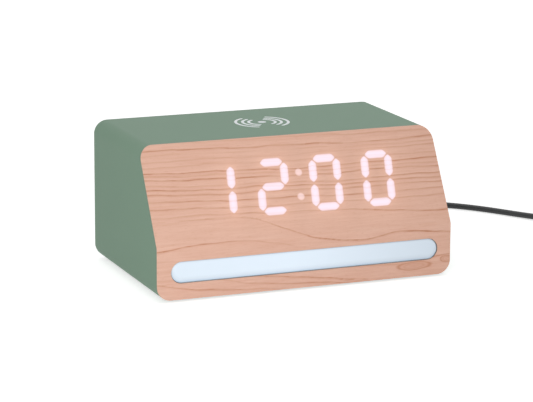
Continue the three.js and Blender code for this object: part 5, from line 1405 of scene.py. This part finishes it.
class CLOCK_OT_inner_finishes(bpy.types.Operator):
    """Give the pieces inside the case their real finishes"""
    bl_idname = "clock.inner_finishes"
    bl_label = "Inner finishes"

    def execute(self, context):
        colours = context.scene.clock_colours
        # ABS in white, unpainted, slightly glossy from a polished mould.
        white = moulded_plastic("abs_white_semi_gloss", linear("#e9e8e3"), 0.4, 0.4 * MM, 0.02 * MM, 0.02)
        # Opal polycarbonate: soft white that spreads the light of the LEDs.
        opal = moulded_plastic("opal_polycarbonate_satin", linear("#f0eee8"), 0.35, 0.5 * MM, 0.01 * MM, 0.02)
        # Glass-filled nylon: black, dull, with short fibre marks.
        nylon = moulded_plastic("glass_filled_nylon_black", linear("#202123"), 0.6, 0.3 * MM, 0.05 * MM, 0.25)
        # Silicone-insulated wire and ribbon: off-white and waxy.
        silicone = moulded_plastic("silicone_insulation_white", linear("#dedbd2"), 0.5, 0.3 * MM, 0.02 * MM,
                                   0.04)
        # Sintered ferrite: dark grey, stony and dull.
        stone = moulded_plastic("sintered_ferrite", linear("#3a3b3d"), 0.75, 0.25 * MM, 0.06 * MM, 0.3)
        steel = bpy.data.materials["nickel_plated_steel_rolled"]
        board = self.circuit_board(colours)
        finishes = {
            white: ("face_carrier", "light_bar_reflector", "display_reflector", "coil_tray"),
            opal: ("digit_diffuser",),
            nylon: ("cell_holder", "sounder",
                    *(f"{use}_switch_{part}" for part in ("body", "plunger") for use in BUTTONS)),
            silicone: ("display_ribbon", "button_ribbon", "bar_lead", "sounder_lead", "charger_lead"),
            stone: ("ferrite_plate",),
            steel: ("usb_socket", "coin_cell", "display_screw_1", "display_screw_2", "tray_screw_1",
                    "tray_screw_2", "board_screw_1", "board_screw_2"),
            board: ("light_bar_board", "display_board", "charger_board", "main_board", "button_board"),
            self.winding(): ("charging_coil",),
            metal("tinned_copper_wire", linear("#b87a4a"), 0.3, 0.2 * MM): ("coil_leads",),
        }
        for material, names in finishes.items():
            for name in names:
                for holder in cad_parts[name].material_slots:
                    holder.material = material
        return {"FINISHED"}

    def circuit_board(self, colours):
        """Glass epoxy board under green solder mask: glossy, with paler copper runs showing through."""
        material, tree, shader = new_material("fr4_board_solder_mask")
        place = add_node(tree, "TexCoord").outputs["Object"]
        runs = add_node(tree, "TexBrick", {
            "Vector": place, "Scale": 1 / (6 * MM), "Mortar Size": 0.03, "Color1": (*colours.board, 1),
            "Color2": (*shade(colours.board, 0.9), 1), "Mortar": (*shade(colours.board, 1.6), 1)}).outputs
        cloth = add_node(tree, "TexNoise", {
            "Vector": place, "Scale": 1 / (0.6 * MM), "Detail": 2.0}).outputs["Fac"]
        bump = add_node(tree, "Bump", {
            "Height": cloth, "Strength": 0.1, "Distance": 0.02 * MM}).outputs["Normal"]
        bump = add_node(tree, "Bump", {
            "Height": runs["Fac"], "Strength": 0.3, "Distance": 0.04 * MM, "Normal": bump}).outputs["Normal"]
        tree.links.new(runs["Color"], shader.inputs["Base Color"])
        tree.links.new(bump, shader.inputs["Normal"])
        shader.inputs["Roughness"].default_value = 0.35
        return material

    def winding(self):
        """Enamelled copper wire wound in a flat spiral: rings of 0.9 mm about the coil's own centre."""
        material, tree, shader = new_material("enamelled_copper_winding")
        low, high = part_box("charging_coil")
        middle = (low + high) / 2
        place = add_node(tree, "TexCoord").outputs["Object"]
        centred = add_node(tree, "Mapping", {
            "Vector": place, "Location": (-middle.x, -middle.y, -middle.z)}).outputs["Vector"]
        # A wave of scale 1 repeats every 0.314.
        rings = add_node(tree, "TexWave", {
            "Vector": centred, "Scale": 0.314 / (0.9 * MM), "Distortion": 0.0},
            wave_type="RINGS", rings_direction="Z").outputs["Fac"]
        tint = add_node(tree, "ValToRGB", {"Fac": rings}, [
            (0.0, linear("#5c2f16")), (0.5, linear("#c07a44"))]).outputs["Color"]
        bump = add_node(tree, "Bump", {
            "Height": rings, "Strength": 0.8, "Distance": 0.4 * MM}).outputs["Normal"]
        tree.links.new(tint, shader.inputs["Base Color"])
        tree.links.new(bump, shader.inputs["Normal"])
        shader.inputs["Metallic"].default_value = 0.9
        shader.inputs["Roughness"].default_value = 0.3
        return material


# Each lamp: its name, its place and its diameter in metres, and its power in watts.
LAMPS = (
    ("key_lamp", (-0.3, -0.55, 0.12), 0.35, 1.8),
    ("fill_lamp", (1.7, -1.3, 1.0), 1.4, 0.3),
    ("top_lamp", (-0.2, 0.2, 2.2), 1.8, 6.9),
    ("back_lamp", (0.6, 1.5, 0.9), 1.2, 1.2),
)
# The floor's rings and how far it lies below the feet, in metres.
FLOOR_RADII, FLOOR_DROP = (0.05, 4.0), 0.2 * MM
# How much the paper shines where a ray looks at it, and the surround's strength as a light.
PAPER_LIFT, SURROUND_LIGHT = 0.62, 0.45


class CLOCK_OT_stage(bpy.types.Operator):
    """Make the pale floor, the soft lamps and the white surroundings"""
    bl_idname = "clock.stage"
    bl_label = "Studio"

    def execute(self, context):
        scene = context.scene
        scene.view_settings.view_transform = "Standard"
        angle = round_once(64)
        radius = np.array(FLOOR_RADII)[:, None]
        x, y = radius * np.cos(angle), radius * np.sin(angle)
        points = np.stack([x, y, np.full_like(x, -FLOOR_DROP)], axis=-1).reshape(-1, 3)
        inner_disc = list(range(len(angle)))[::-1]
        faces = grid_faces(len(radius), len(angle), wrap_columns=True) + [inner_disc]
        floor = new_object("studio_floor", (points, faces))
        floor.data.materials.append(self.paper())
        self.world(scene)
        for name, place, size, power in LAMPS:
            data = bpy.data.lights.new(name, "AREA")
            data.shape = "DISK"
            data.size = size
            data.energy = power
            lamp = bpy.data.objects.new(name, data)
            lamp.location = place
            lamp.visible_camera = False
            lamp.rotation_euler = Vector(place).to_track_quat("Z", "Y").to_euler()
            scene.collection.objects.link(lamp)
        return {"FINISHED"}

    def looked_at(self, tree):
        """1 where the camera, a mirror or glass looks at the surface, and 0 where it only gives light."""
        path = add_node(tree, "LightPath")
        seen = path.outputs["Is Camera Ray"]
        for kind in ("Is Glossy Ray", "Is Transmission Ray"):
            seen = add_node(tree, "Math", {0: seen, 1: path.outputs[kind]}, operation="MAXIMUM").outputs[0]
        return seen

    def paper(self):
        """White paper: it keeps the clock's soft shadow, and is lit up to white where a ray looks at it."""
        material, tree, shader = new_material("studio_paper_white")
        lift = add_node(tree, "Math", {0: self.looked_at(tree), 1: PAPER_LIFT},
                        operation="MULTIPLY").outputs[0]
        place = add_node(tree, "TexCoord").outputs["Object"]
        fibre = add_node(tree, "TexNoise", {
            "Vector": place, "Scale": 1 / (2.5 * MM), "Detail": 2.0}).outputs["Fac"]
        tint = add_node(tree, "ValToRGB", {"Fac": fibre}, [(0.3, 0.78), (0.7, 0.8)]).outputs["Color"]
        tree.links.new(tint, shader.inputs["Base Color"])
        tree.links.new(lift, shader.inputs["Emission Strength"])
        shader.inputs["Emission Color"].default_value = (1, 1, 1, 1)
        shader.inputs["Roughness"].default_value = 0.9
        shader.inputs["Specular IOR Level"].default_value = 0.1
        return material

    def world(self, scene):
        """An even white surround: dimmer as a light than it looks, so that pale surfaces keep their tone."""
        world = bpy.data.worlds.new("studio_surround")
        scene.world = world
        world.use_nodes = True
        tree = world.node_tree
        ground = tree.nodes["Background"]
        power = add_node(tree, "MapRange", {
            "Value": self.looked_at(tree), "To Min": SURROUND_LIGHT, "To Max": 1.0}).outputs[0]
        tree.links.new(power, ground.inputs["Strength"])
        ground.inputs["Color"].default_value = (1, 1, 1, 1)


STEPS = (CLOCK_OT_camera, CLOCK_OT_lead, CLOCK_OT_case, CLOCK_OT_wood_face, CLOCK_OT_night_light,
         CLOCK_OT_charging_mark, CLOCK_OT_rear, CLOCK_OT_inner_finishes, CLOCK_OT_stage)


class CLOCK_PT_panel(bpy.types.Panel):
    """Steps and settings of the clock"""
    bl_idname = "CLOCK_PT_panel"
    bl_label = "Charging alarm clock"
    bl_space_type = "VIEW_3D"
    bl_region_type = "UI"
    bl_category = "Clock"

    def draw(self, context):
        for step in STEPS:
            self.layout.operator(step.bl_idname)
        for name, group in SETTINGS.items():
            box = self.layout.box()
            box.label(text=group.__doc__)
            for key in group.__annotations__:
                box.prop(getattr(context.scene, name), key)


def register():
    for group in (*SETTINGS.values(), *STEPS, CLOCK_PT_panel):
        bpy.utils.register_class(group)
    for name, group in SETTINGS.items():
        setattr(bpy.types.Scene, name, PointerProperty(type=group))


def unregister():
    for name in SETTINGS:
        delattr(bpy.types.Scene, name)
    for group in (CLOCK_PT_panel, *STEPS[::-1], *reversed(SETTINGS.values())):
        bpy.utils.unregister_class(group)


def main():
    register()
    for step in STEPS:
        area, name = step.bl_idname.split(".")
        getattr(getattr(bpy.ops, area), name)()


if __name__ == "__main__":
    main()
